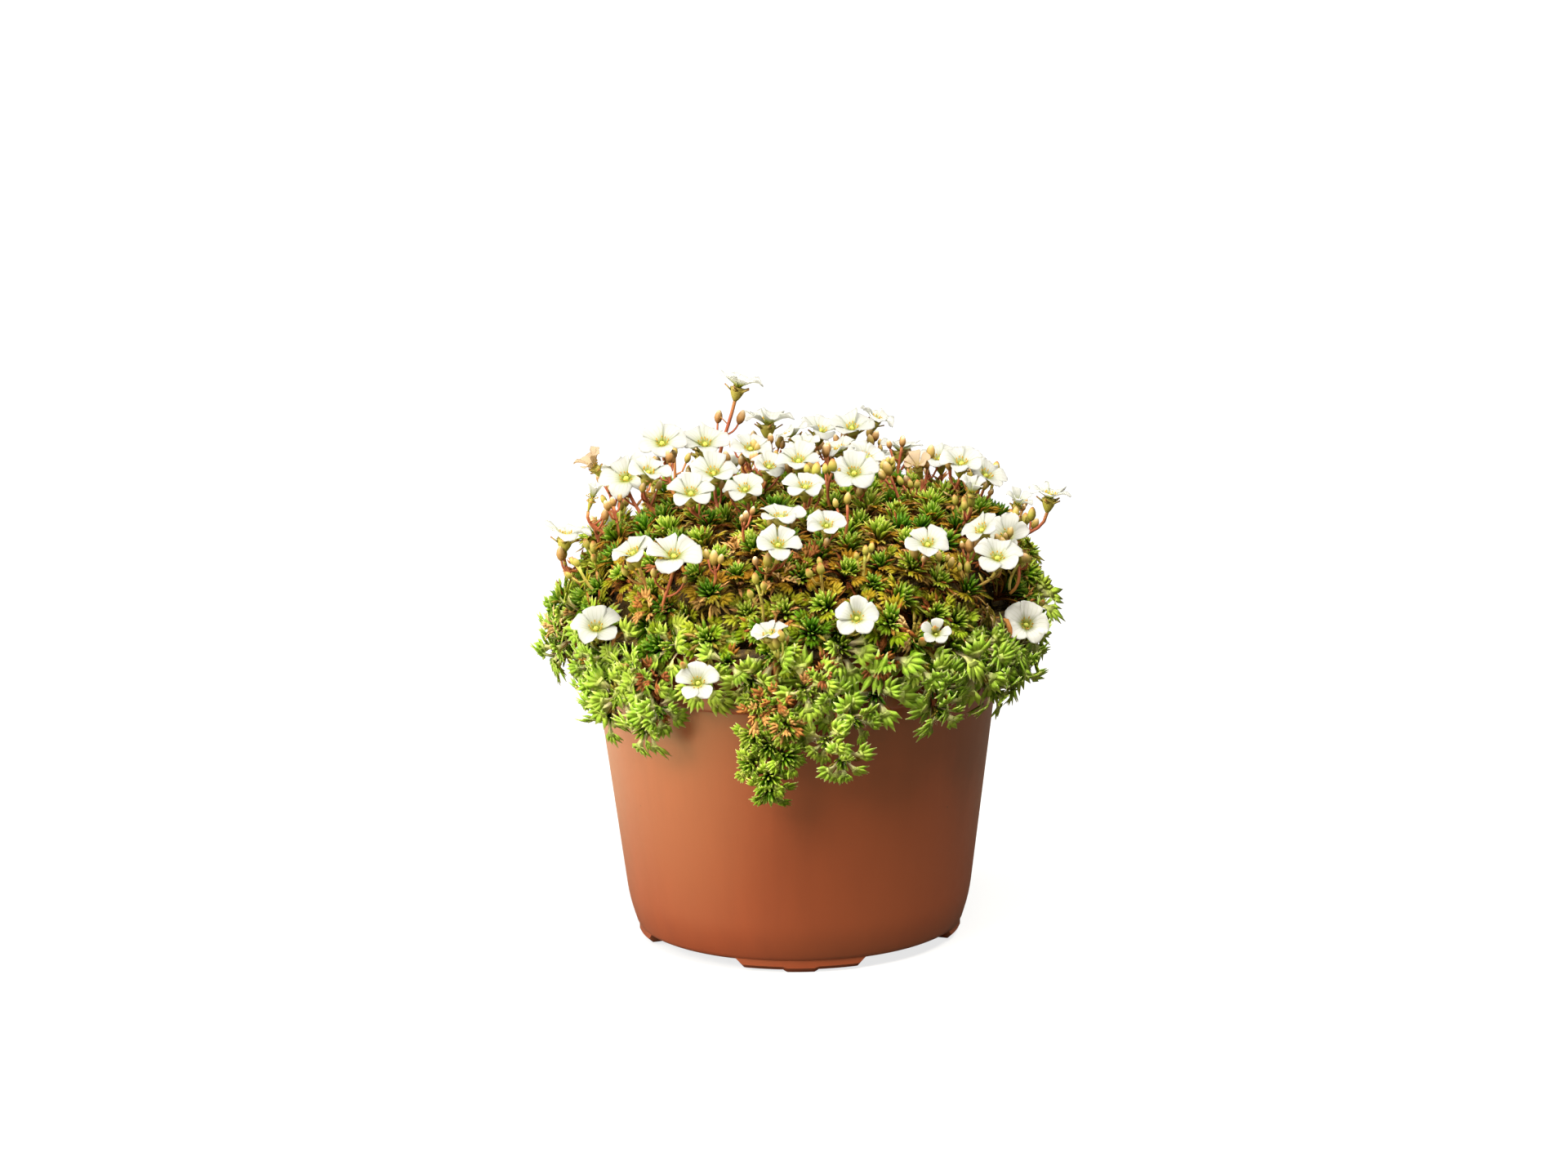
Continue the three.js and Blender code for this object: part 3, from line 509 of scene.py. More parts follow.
def white_petal(tree):
    """White petal: thin living tissue, matt with a faint glow, yellow-green in the throat, with fine
    greyish veins. Withered blooms are straw brown. Blooms that get little light are painted a lighter
    white in their outer part: painted light that makes up for the light they miss."""
    dim, along, across_it, withered = growth_sockets(tree)
    stops = {0.0: "#98a232", 0.12: "#bac058", 0.26: "#c8cdb2", 0.42: "#ced1cb", 1.0: "#d2d3d2"}
    base = node(tree, "ValToRGB", [along], stops=stops)
    # Painted light: where little light reaches a bloom, the outer part of its petals is mixed towards a
    # lighter white.
    outer = node(tree, "MapRange", [along, 0.2, 0.42])
    outer = node(tree, "Math", [dim, outer], operation="MULTIPLY")
    base = node(tree, "Mix", {SHARE: outer, A: base, B: "#f8f9f6"}, **MIXED)
    waves = node(tree, "Math", [across_it, 34.0], operation="MULTIPLY")
    vein = node(tree, "MapRange", [node(tree, "Math", [waves], operation="SINE"), 0.82, 1.0])
    inner = node(tree, "MapRange", [along, 0.95, 0.35])
    vein = node(tree, "Math", [vein, inner], operation="MULTIPLY")
    veined = node(tree, "Mix", {SHARE: 1.0, A: base, B: "#e6e8dc"}, **MULTIPLIED)
    base = node(tree, "Mix", {SHARE: vein, A: base, B: veined}, **MIXED)
    base = node(tree, "Mix", {SHARE: withered, A: base, B: "#cfb48c"}, **MIXED)
    return plant_skin(tree, base, 0.5, 0.6, "#ffffff")


def stamens(tree):
    """Stamens and ovary: yellow-green filaments with powdery yellow anthers."""
    _, along, _, _ = growth_sockets(tree)
    stops = {0.0: "#b2bc48", 0.6: "#dcdc8c", 0.85: "#d8ae36", 1.0: "#c08c28"}
    return plant_skin(tree, node(tree, "ValToRGB", [along], stops=stops), 0.7, 0.15, "#ffffc0")


def studio_floor(tree):
    """Matt pale paper. The camera sees it fade to white with the distance. To all other rays it is
    darker, but pale at the left, which gives the pot's left side its soft sheen."""
    place = node(tree, "TexCoord", output="Object")
    cloud = node(tree, "TexNoise", patches(place, 400, 2))
    pale = node(tree, "ValToRGB", [cloud], stops={0.3: "#dcdcd9", 0.7: "#e0e0dd"})
    eye = node(tree, "LightPath", output="Is Camera Ray")
    left = node(tree, "MapRange", [node(tree, "SeparateXYZ", [place], "X"), -0.03, -0.15])
    bounced = node(tree, "Mix", {SHARE: left, A: "#5e544a", B: "#d2ccb2"}, **MIXED)
    pale = node(tree, "Mix", {SHARE: eye, A: bounced, B: pale}, **MIXED)
    skin = node(tree, "BsdfPrincipled", {"Base Color": pale, "Roughness": 0.7})
    away = node(tree, "VectorMath", [place], "Value", operation="LENGTH")
    fade = node(tree, "MapRange", [away, -1.2, 0.6])
    fade = node(tree, "Math", [eye, fade], operation="MULTIPLY")
    return node(tree, "MixShader", [fade, skin, node(tree, "Emission", {"Strength": 1.12})])


# The pot.


def rounded(corners, steps=5):
    """A profile with each inner corner of [radius, height, fillet] rows rounded by a quadratic curve that
    starts and ends a fillet away from it."""
    corners = np.asarray(corners, float)
    places = corners[:, :2]
    rows = [places[0]]
    for before, here, after, fillet in zip(places, places[1:], places[2:], corners[1:, 2]):
        start = here + unit(before - here) * fillet
        end = here + unit(after - here) * fillet
        rows.extend(bezier(start, here, end, np.linspace(0, 1, steps)))
    rows.append(places[-1])
    return np.array(rows)


def pot_profile():
    """The pot's section: outer side from the floor's middle up to the rim, inner side back down."""
    return rounded([
        [0, FLOOR_Z + 1, 0], [37, FLOOR_Z + 1, 0.6], [39.5, FLOOR_Z, 0.6], [44.1, FLOOR_Z, 1.6],
        [46.5, 10.5, 4.0], [54.6, BAND_Z, 0.5], [57.5, BAND_Z + 0.8, 0.7],
        [RIM_RADIUS, POT_HEIGHT - 0.5, 0.4],
        [RIM_RADIUS - 0.1, POT_HEIGHT, 0.3], [RIM_RADIUS - WALL, POT_HEIGHT, 0.3],
        [57.6 - WALL, BAND_Z + 2.1, 0.8], [54.6 - WALL, BAND_Z + 1.1, 0.8], [46.5 - WALL, 11.3, 4.0],
        [42.6, INSIDE_FLOOR, 1.5], [0, INSIDE_FLOOR, 0],
    ])


def pot_foot(middle):
    """One foot: a bar carried round the floor's edge through its half angle, thin at both ends, with a
    low pad in its middle. Its underside's height is a smooth step from the floor to the drop, and another
    to the table at the pad."""
    half_angle, pad_angle, end_slope, pad_slope = np.radians([24, 5.2, 3.5, 0.9])
    drop = 0.7
    turn = np.linspace(-half_angle, half_angle, 61)
    to_end = (half_angle - np.abs(turn)) / end_slope
    to_pad = (pad_angle + pad_slope - np.abs(turn)) / pad_slope
    low = mix(FLOOR_Z + 0.3, drop, smooth(to_end)) - drop * smooth(to_pad)
    high = FLOOR_Z + 0.8
    inner, outer, round_by = 39.0, 43.9, 1.2
    section = [
        (inner, 1), (inner, 0.2), (inner + round_by, 0), (outer - round_by, 0), (outer, 0.35), (outer, 1)
    ]
    rows = [polar(radius, middle + turn, mix(low, high, share)) for radius, share in section]
    return bars(np.stack(rows, axis=1)[None])


def add_pot():
    """The pot: its lathed shell with six drain holes cut through the floor, and four feet."""
    plastic = made_of(moulded_polypropylene)
    shell = piece("pot_shell", [lathed(pot_profile(), 192)], plastic, ["pot"])
    hole_width, ring_radius, ring_holes, in_floor = 8.0, 27.0, 5, 4.0
    angles = np.arange(ring_holes) * TURN / ring_holes
    places = np.concatenate([[[0.0, 0.0, in_floor]], polar(ring_radius, angles, in_floor)])
    path = straight(places, np.broadcast_to(UP, places.shape), [-6.0, 6.0])
    holes = piece("hole_cutters", [tubes(path, hole_width, 28)], plastic, [])
    cut = shell.modifiers.new("drain_holes", "BOOLEAN")
    cut.operation = "DIFFERENCE"
    cut.solver = "EXACT"
    cut.object = holes
    ready = shell.evaluated_get(bpy.context.evaluated_depsgraph_get())
    bored = bpy.data.meshes.new_from_object(ready)
    shell.modifiers.clear()
    shell.data = bored
    bpy.data.objects.remove(holes)
    feet = [pot_foot(i * math.pi / 2 - math.pi / 2) for i in range(4)]
    for thing in (shell, piece("pot_feet", feet, plastic, ["pot"])):
        thing.data.set_sharp_from_angle(angle=math.radians(40))


# Peat and the mat of old shoots.


def add_peat():
    """Peat: a lathed body, a little clear of the pot, whose top rises and falls by soft noise."""
    gap = 0.45
    inside, low = WALL + gap, INSIDE_FLOOR + gap
    wall = [[42.0, low], [46.3 - inside, 10.6], [54.6 - inside, BAND_Z + 1.6], [57.3 - inside, BAND_Z + 3.4]]
    top = [[r, PEAT_TOP] for r in np.linspace(57.5, 1.5, 36)]
    surface = lathed([[0, low], *wall, *top, [0, PEAT_TOP]], 150)
    points = surface[0]
    on_top = points[:, 2] > PEAT_TOP - 0.01
    wave = 0.6 * ripple(points, 9, 1) + 0.5 * ripple(points, 3.4, 2)
    points[on_top, 2] += (wave - 0.9)[on_top]
    piece("peat_body", [surface], made_of(milled_peat), ["soil"])


def dome_profile():
    """Close points of the dome from the pole to the rim as radius, height and area above. At a share of
    its radius the superellipse lies at DOME_RISE times (1 - share^DOME_POWER)^(1 / DOME_POWER) over its
    base."""
    share = np.sin(np.linspace(0, 0.5 * math.pi, 400))
    rise = DOME_RISE * (1 - np.minimum(share, 0.9999) ** DOME_POWER) ** (1 / DOME_POWER)
    r, z = DOME_RADIUS * share, DOME_BASE + rise
    ring = math.pi * (r[1:] + r[:-1]) * np.hypot(np.diff(r), np.diff(z))
    return r, z, np.concatenate([[0], np.cumsum(ring)])


def on_dome(share, angle):
    """Points and outward directions where a share of the dome's area lies above."""
    r, z, area = dome_profile()
    place = share * area[-1]
    step = area[-1] * 0.004
    radius, height = np.interp(place, area, r), np.interp(place, area, z)
    dr, dz = (np.interp(place + step, area, way) - np.interp(place - step, area, way) for way in (r, z))
    return polar(radius, angle, height), unit(polar(-dz, angle, dr))


def add_mat():
    """The mat under the rosettes: the dome sunk by several millimetres, with lumps of soft noise, and a
    lip over the rim that ends outside it."""
    sunk = 7.0
    r, z, _ = dome_profile()
    keep = np.linspace(0, len(r) - 1, 46).astype(int)[1:]
    shrink, lower = 1 - sunk / DOME_RADIUS, 1 - sunk / DOME_RISE
    top = np.stack([r[keep] * shrink, DOME_BASE + (z[keep] - DOME_BASE) * lower], axis=-1)[::-1]
    neck = [[0, PEAT_TOP - 1], [54, PEAT_TOP - 1], [55.5, POT_HEIGHT + 0.2], [61.5, POT_HEIGHT + 0.3]]
    lip = [[62, POT_HEIGHT + 1.2], [60, POT_HEIGHT + 2.6]]
    surface = lathed([*neck, *lip, *top, [0, DOME_BASE + DOME_RISE - sunk]], 180)
    points = surface[0]
    free = points[:, 2] > POT_HEIGHT + 2
    wave = 1.2 * ripple(points, 11, 5) + 0.7 * ripple(points, 4, 6)
    points[free] += (unit(points - 70 * UP) * wave[:, None])[free]
    piece("shoot_mat", [surface], made_of(old_shoots), ["cushion"])


# Leaf rosettes.


class Shoots:
    """Shoots that end in a rosette each: where, which way, how far the leaves reach, how open they stand,
    and a tone from deep to pale green."""

    def __init__(self, at, axis, reach, openness):
        self.at = at
        self.axis = axis
        self.tone = np.random.default_rng(14).uniform(0, 1, len(at))
        self.reach = np.broadcast_to(reach, len(at)).copy()
        self.openness = np.broadcast_to(openness, len(at)).copy()


def crown_shoots():
    """Rosettes all over the dome by a spiral of golden angles, each shifted and tilted a little. All but
    the lowest lean to the right."""
    rng = np.random.default_rng(21)
    count, lean_over, low_below = 220, 12, 16
    k = np.arange(count)
    at, normal = on_dome((k + 0.5) / count, k * GOLDEN_ANGLE)
    at = at + rng.normal(scale=1.1, size=(count, 3))
    at += normal * rng.uniform(-2.4, 2.0, count)[:, None]
    at[:, 0] += LEAN * smooth((at[:, 2] - DOME_BASE) / lean_over)
    axis = unit(normal + 0.3 * UP + rng.normal(scale=0.22, size=(count, 3)))
    low = np.clip((DOME_BASE + low_below - at[:, 2]) / low_below, 0, 1)
    reach = mix(7.2, 8.8, low) * rng.uniform(0.82, 1.12, count)
    return Shoots(at, axis, reach, mix(rng.uniform(0.1, 0.6, count), 0.85, low))


def fringe_shoots():
    """Rosettes that hang over the rim in two uneven rows, the ones at the right farther out and with
    longer leaves."""
    rng = np.random.default_rng(22)
    count = 50
    k = np.arange(count)
    angle = (k + rng.uniform(-0.35, 0.35, count)) * 2 * math.pi / count
    to_right = np.cos(angle)
    row = k % 2
    z = np.where(row, 91.5, 83.0) + rng.uniform(-3.5, 1.8, count)
    radius = np.where(row, 61.6, 61.8) + rng.uniform(-1.0, 1.0, count) + 1.4 * np.maximum(to_right, 0)
    lift = np.where(row, 0.4, -0.3) + rng.uniform(-0.4, 0.35, count)
    axis = unit(polar(1.0, angle + rng.uniform(-0.6, 0.6, count), lift))
    reach = rng.uniform(9.0, 11.5, count) * (1 + 0.13 * to_right)
    return Shoots(polar(radius, angle, z), axis, reach, rng.uniform(0.6, 1.0, count))


def trail_lines(trails):
    """The stems of the trailing shoots as rows of points: out over the rim, then down, a little off the
    pot."""
    lines = []
    t = np.linspace(0, 1, TRAIL_POINTS)
    for degrees, drop, _ in trails:
        radius = np.interp(t, [0, 0.15, 1], [57.5, 62.4, 63.4 - 0.04 * drop])
        z = np.interp(t, [0, 0.15, 1], [91.4, 91.0, POT_HEIGHT + 2 - drop])
        sway = 0.02 * np.sin(5 * t + degrees)
        lines.append(polar(radius, math.radians(degrees - 90) + sway, z))
    return np.array(lines)


def trail_shoots(trails, first, spacing):
    """Rosettes along trailing shoots from a first share of each, to its left, on it and to its right in
    turn, and one at its end."""
    rng = np.random.default_rng(23)
    out_from_stem, sidestep = 1.2, 3.6
    rows = []
    for line, (degrees, drop, reach) in zip(trail_lines(trails), trails):
        count = max(4, round((drop - 4) / spacing))
        angle = math.radians(degrees - 90)
        sideways = polar(1.0, angle + math.pi / 2, 0.0)
        for i in range(count):
            t = mix(first, 1.0, i / (count - 1)) * (TRAIL_POINTS - 1)
            at = np.array([np.interp(t, np.arange(TRAIL_POINTS), line[:, k]) for k in range(3)])
            step = (i % 3 - 1) * (i < count - 1)
            swing = 0.6 * step + rng.uniform(-0.2, 0.2)
            axis = unit(polar(1.0, angle + swing, rng.uniform(-0.5, 0.1) - 0.5 * (i == count - 1)))
            at = at + axis * out_from_stem + sideways * sidestep * step
            rows.append((at, axis, reach * rng.uniform(0.85, 1.0)))
    return Shoots(*(np.array(column) for column in zip(*rows)), 0.8)


def clear_of_blooms(points):
    """Whether each point lies outside the two short cones that open from every bloom's petals, one along
    its axis and one that leans up to the light."""
    clear = np.full(len(points), True)
    for throat, axis, radius, height in zip(throats, bloom_axes, radii, heights):
        off = points - throat
        to_light = unit(axis + np.array([-0.3, -0.3, 0.9]))
        for way, first, last in ((axis, -0.5, height + 16), (to_light, 2.0, height + 26)):
            along = off @ way
            out = np.linalg.norm(off - along[:, None] * way, axis=1)
            clear &= ~((out < radius + 1 + 0.2 * along) & (along > first) & (along < last))
    return clear


def leaf_lines(shoots, count, seed, tilts, lengths, depth):
    """Where the leaves of rosettes start, bend and end.

    Leaf i turns about the shoot's axis by i golden angles. Its tilt from the axis and its length in
    shares of the shoot's reach grow with i from the first to the last of tilts and lengths, its start
    sinks along the axis, and its midline bends outwards from half of the tilt to all of it. Leaves that
    would stand before a bloom are left out. Gives start, bend, end, end direction, side direction, the
    normal of the face that looks to the axis, length, age and tone, one row for each leaf.
    """
    rng = np.random.default_rng(seed)
    shape = (len(shoots.at), count)
    share = np.broadcast_to(np.arange(count) / (count - 1), shape)
    u, v = across(shoots.axis, rng)
    turn = np.arange(count) * GOLDEN_ANGLE + rng.normal(scale=0.1, size=shape)
    radial = turned(u[:, None], v[:, None], turn)
    axis = np.broadcast_to(shoots.axis[:, None], radial.shape)
    widest = tilts[1] * mix(0.82, 1.08, shoots.openness[:, None])
    tilt = mix(tilts[0], widest, share**0.7) + rng.normal(scale=0.08, size=shape)
    length = shoots.reach[:, None] * mix(*lengths, share**0.7) * rng.uniform(0.85, 1.12, shape)
    half = (0.5 * length)[..., None]
    start = shoots.at[:, None] - axis * (depth * share)[..., None] + radial * 0.35
    bend = start + turned(axis, radial, tilt * 0.45) * half
    forward = turned(axis, radial, tilt * 1.05)
    end = bend + forward * half
    side = unit(np.cross(axis, radial) + rng.normal(scale=0.12, size=radial.shape))
    tone = np.clip(shoots.tone[:, None] + rng.normal(scale=0.15, size=shape), 0, 1)
    rows = [x.reshape(-1, 3) for x in (start, bend, end, forward, side, axis)]
    rows += [x.ravel() for x in (length, share, tone)]
    clear = clear_of_blooms(rows[2]) & clear_of_blooms(rows[1]) & clear_of_blooms(mix(rows[1], rows[2], 0.5))
    start, bend, end, forward, side, axis, length, age, tone = (row[clear] for row in rows)
    side = unit(side - forward * (side * forward).sum(-1, keepdims=True))
    normal = np.cross(forward, side)
    inward = (normal * axis).sum(-1, keepdims=True)
    return start, bend, end, forward, side, normal * np.where(inward < 0, -1.0, 1.0), length, age, tone


def heart_fingers(shoots, count, seed, tilts, lengths):
    """The crowded young fingers in the heart of each rosette: fleshy keeled blades, upright in the middle
    and leaning out round it, each widest past its middle and pointed."""
    lines = leaf_lines(shoots, count, seed, tilts, lengths, depth=1.8)
    start, bend, end, _, side, normal, length, age, tone = lines
    along = np.array([0.1, 0.6, 0.84, 1.0])
    path = bezier(start, bend, end, along)
    scale = (0.5 + length / 10)[:, None]
    width = scale * np.array([0.6, 0.98, 0.84, 0.06])
    thick = scale * np.array([0.6, 0.75, 0.6, 0.08])
    return [swept(path, side, normal, width, thick, KEELED, tone[:, None], along, 0.25 * age[:, None])]


def lobed_leaves(
    shoots, count, fingers, seed, tilts, lengths=(0.8, 1.1), depth=3.4, extra=0.0,
    palm=1.9, finger=0.46, broad=1.0,
):
    """Saxifrage leaves: a keeled stalk that widens into the palm, and fingers that fan out from it.

    The fingers take the last share, finger, of the midline, and the stalk follows the rest of it. Finger
    j leaves the palm at an angle from the midline and turns back towards it by a third, while it curls
    down by the square of the way along. Palm is the stalk's end width, broad the fingers' width, and
    extra goes into the growth numbers.
    """
    rng = np.random.default_rng(seed + 500)
    lines = leaf_lines(shoots, count, seed, tilts, lengths, depth)
    start, bend, end, forward, side, normal, length, age, tone = lines
    total = len(start)
    root = 1.07 - finger
    path = bezier(start, bend, end, [0.0, 0.42, root + 0.09])
    scale = (0.5 + length / 15)[:, None]
    width = scale * np.array([0.8, 0.5 * (0.7 + 0.6 * palm), palm])
    thick = scale * np.array([0.75, 0.6, 0.45])
    age, tone = (0.3 + 0.7 * age)[:, None], tone[:, None]
    surfaces = [swept(path, side, normal, width, thick, KEELED, tone, [0.0, 0.3, 0.58], age, extra)]
    fork = bezier(start, bend, end, [root])[:, 0]
    half = (fingers - 1) / 2
    spread = mix(0.5, 0.95, (fingers - 3) / 2)
    ways = np.array([0.0, 0.55, 1.0])
    width = scale * np.array([0.75 * broad, broad, 0.08])
    thick = scale * np.array([0.42, 0.55, 0.14])
    for j in range(fingers):
        off = (j - half) / max(half, 1)
        angle = (off * spread * rng.uniform(0.8, 1.2, total))[:, None] * (1.1 - 0.4 * ways)
        reach = (length * finger * (1 - 0.18 * abs(off)) * rng.uniform(0.88, 1.1, total))[:, None]
        base = fork + side * (off * 0.21 * palm * scale)
        curl = rng.uniform(-0.05, 0.3, total)[:, None, None] * (ways**2)[:, None] * reach[..., None]
        way = turned(forward[:, None], side[:, None], angle)
        path = base[:, None] + way * (ways * reach)[..., None] - normal[:, None] * curl
        finger_side = turned(side[:, None], -forward[:, None], angle)
        along = [0.5, 0.78, 1.0]
        surfaces.append(swept(path, finger_side, normal, width, thick, KEELED, tone, along, age, extra))
    return surfaces


def add_leaves(crown, fringe, clump, trails):
    """All living leaves: small many-leaved rosettes on the dome, larger and looser ones on the fringe and
    trails."""
    high = crown.at[:, 2] > np.median(crown.at[:, 2])
    top, side = (
        Shoots(crown.at[there], crown.axis[there], crown.reach[there], crown.openness[there])
        for there in (high, ~high)
    )
    leaves_top = [
        *heart_fingers(top, 30, 36, (0.05, 1.25), (0.68, 0.84)),
        *lobed_leaves(top, 5, 3, 32, (1.0, 1.5), broad=1.15),
    ]
    leaves_side = [
        *heart_fingers(side, 30, 35, (0.05, 1.25), (0.62, 0.78)),
        *lobed_leaves(side, 6, 5, 31, (1.0, 1.5), (0.85, 1.2), palm=2.2, finger=0.44, broad=1.2),
    ]
    leaves_fringe = [
        *heart_fingers(fringe, 12, 37, (0.1, 1.0), (0.36, 0.5)),
        *heart_fingers(trails, 12, 39, (0.1, 1.0), (0.36, 0.5)),
        *heart_fingers(clump, 24, 38, (0.05, 1.2), (0.6, 0.76)),
    ]
    for shoots, seed in ((fringe, 33), (trails, 30)):
        leaves_fringe += lobed_leaves(
            shoots, fingers=5, seed=seed, **HANGING, extra=1.0, palm=2.7, finger=0.47, broad=1.3
        )
    leaves_fringe += lobed_leaves(clump, 7, 5, 34, (1.0, 1.6), extra=0.5, palm=2.3, finger=0.44, broad=1.25)
    leaf = made_of(living_leaf)
    for name, leaves in (
        ("leaves_top", leaves_top), ("leaves_side", leaves_side), ("leaves_fringe", leaves_fringe)
    ):
        piece(name, leaves, leaf, ["cushion"])


def add_dead_leaves(crown, fringe, trails):
    """Withered leaves that hang under the rosettes, a thatch of narrow ones between those of the dome,
    and whole withered rosettes between the green ones and along the rim."""
    surfaces = []
    for seed, shoots, count in ((41, crown, 6), (42, fringe, 3), (43, trails, 3)):
        sunk = Shoots(shoots.at - shoots.axis * 2.0, shoots.axis, shoots.reach * 0.9, 1.0)
        surfaces += lobed_leaves(sunk, count, 3, seed, (0.9, 1.7), (0.7, 1.0), depth=2.5)
    low = Shoots(crown.at - crown.axis * 0.8, crown.axis, crown.reach, 1.0)
    surfaces += lobed_leaves(low, 14, 1, 45, (0.7, 1.6), depth=3.5, palm=0.9)

    rng = np.random.default_rng(46)
    at = np.concatenate([crown.at, fringe.at])
    chosen = rng.choice(len(at), 22, replace=False)
    axis = np.concatenate([crown.axis, fringe.axis])[chosen]
    sidestep, _ = across(axis, rng)
    aside = 4.6
    at = at[chosen] + sidestep * aside + axis
    degrees, z = np.array(WITHERED_AT_RIM).T
    outside_rim = 64.5
    at_rim = polar(outside_rim, np.radians(degrees), z)
    out = unit(at_rim * [1.0, 1.0, 0.0])
    gone = Shoots(np.concatenate([at, at_rim]), np.concatenate([axis, out]), reach=6.4, openness=0.8)
    surfaces += lobed_leaves(gone, 8, 3, 47, (0.4, 1.5), depth=2.0, extra=1.0)
    piece("dead_leaves", surfaces, made_of(withered_leaf), ["cushion"])


def add_trail_stems():
    """The brown stems of the trailing shoots."""
    stems = tubes(trail_lines(TRAILS), 1.7, 6, 0.9, np.linspace(0, 0.7, TRAIL_POINTS))
    piece("trail_stems", [stems], made_of(downy_stem), ["cushion"])


def add_hairs(fringe, trails):
    """Fine woolly hairs on the stalks of the fringe's and the trails' leaves: thin three-sided spikes,
    each at a random place of a stalk and in a random direction."""
    rng = np.random.default_rng(61)
    surfaces = []
    for shoots, seed in ((fringe, 33), (trails, 30)):
        start, bend, *_ = leaf_lines(shoots, seed=seed, **HANGING)
        stalk = rng.integers(0, len(start), 5 * len(start))
        foot = mix(start[stalk], bend[stalk], rng.uniform(0, 1, len(stalk))[:, None])
        way = unit(rng.normal(size=foot.shape))
        path = straight(foot, way, rng.uniform(0.9, 2.0, len(stalk))[:, None] * [0.0, 1.0])
        surfaces.append(tubes(path, [0.1, 0.03], 3))
    piece("woolly_hairs", surfaces, made_of(woolly_hair), ["cushion"])


# Flowers.


def bloom_frames():
    """Where each bloom of the frame is and how it stands, from its node's points: throat, axis, direction
    to a petal's tip, radius and height.

    Pairs of points one petal's thickness apart lie along the axis. The points nearest the axis are the
    throat, which is lower than the rim, and the farthest points are the petals' tips.
    """
    thickness = 0.7
    rows = []
    for name in BLOOMS:
        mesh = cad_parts[name].data
        points = np.zeros(len(mesh.vertices) * 3)
        mesh.vertices.foreach_get("co", points)
        points = np.unique(np.round(points.reshape(-1, 3) / MM, 3), axis=0)
        gaps = points[:, None] - points[None]
        pairs = gaps[np.abs(np.linalg.norm(gaps, axis=-1) - thickness) < 0.004]
        pairs = pairs * np.sign(pairs @ pairs[0])[:, None]
        alike = np.abs(unit(pairs) @ unit(pairs).T) > 0.999
        axis = unit(pairs[alike[alike.sum(0).argmax()]].mean(0))
        middle = points.mean(0)
        off = points - middle
        out = np.linalg.norm(off - (off @ axis)[:, None] * axis, axis=1)
        throat = points[np.argsort(out)[:2]].mean(0)
        if (middle - throat) @ axis < 0:
            axis = -axis
        off = points - throat
        height = off @ axis
        flat = off - height[:, None] * axis
        out = np.linalg.norm(flat, axis=1)
        tip = flat[out.argmax()]
        rows.append((throat, axis, tip / np.linalg.norm(tip), out.max(), height.max() - 0.5 * thickness))
    return [np.array(column) for column in zip(*rows)]


def add_petals(throat, axis, towards, radius, height):
    """Petals: five to a bloom, each a grid of rows along it and columns across it.

    A point lies at row share times the petal's length from the throat, and at column times the half width
    of its row to the side. It rises by height times the sine of the row share, its sides cup up by the
    square of the column, its tip rolls out, and its edge waves. The first growth number says how little
    of the light from the upper left reaches the bloom, because it is turned away or the cushion overhangs
    it low at the right.
    """
    rng = np.random.default_rng(51)
    blooms = len(throat)
    count = blooms * PETALS

    def of_bloom(values):
        return np.repeat(values, PETALS)[:, None, None]

    def each(low, high):
        return rng.uniform(low, high, count)[:, None, None]

    out = fan(towards, np.cross(axis, towards), PETALS, rng.normal(scale=0.07, size=(blooms, PETALS)))
    up = np.repeat(axis, PETALS, axis=0)
    side = np.cross(up, out)
    v, u = np.meshgrid(PETAL_ROWS, np.linspace(-1, 1, 7), indexing="ij")
    half = np.interp(v, PETAL_ROWS, PETAL_HALF_WIDTH)
    size = of_bloom(radius) * each(0.86, 1.02)
    rise = of_bloom(height) * each(0.7, 1.15)
    openness = np.clip(of_bloom(radius / height) / 2.4, 0.3, 1)
    notch = each(0.0, 0.05) * (1 - np.abs(u)) * smooth((v - 0.8) / 0.2)
    along = size * (v * (1 - 0.07 * u**2) - notch) + 0.35
    broad = size * half * u * each(0.86, 1.14)
    lift = rise * np.sin(v * 0.56 * math.pi) + 0.12
    lift = lift + size * each(0.06, 0.26) * (u * half * 2) ** 2
    lift = lift - size * each(-0.04, 0.22) * openness * smooth((v - 0.62) / 0.38)
    wave = each(0, TURN)
    lift = lift + size * 0.025 * np.sin(4.2 * u + wave) * v + size * 0.02 * np.sin(7 * v + 2 * wave) * u
    tilt = rng.normal(scale=0.13, size=count)[:, None, None]
    lift = lift + broad * tilt + (np.arange(count) % 2 * 0.1)[:, None, None]
    base = np.repeat(throat, PETALS, axis=0)[:, None, None]
    top = base + out[:, None, None] * along[..., None] + side[:, None, None] * broad[..., None]
    top = top + up[:, None, None] * lift[..., None]
    thickness = 0.2
    bottom = top - up[:, None, None] * thickness
    withered = of_bloom(np.isin(np.arange(blooms), WITHERED_BLOOMS)) * 0.75
    # Painted light: dim says how much lighter a white the petals of a bloom are painted, for the light that
    # misses it.
    to_light = unit(np.array([-0.3, -0.45, 0.85]))
    turned_away = np.clip(1.3 - 1.25 * (axis @ to_light), 0, 1)
    overhung = smooth((throat[:, 0] - 45) / 12) * smooth((100 - throat[:, 2]) / 8)
    dim = of_bloom(np.maximum(turned_away, overhung))
    tone = growth_of(top.shape[:3], dim, v, 0.5 + 0.5 * u, withered)
    piece("petals", [sheets(top, bottom, tone)], made_of(white_petal), BLOOMS)


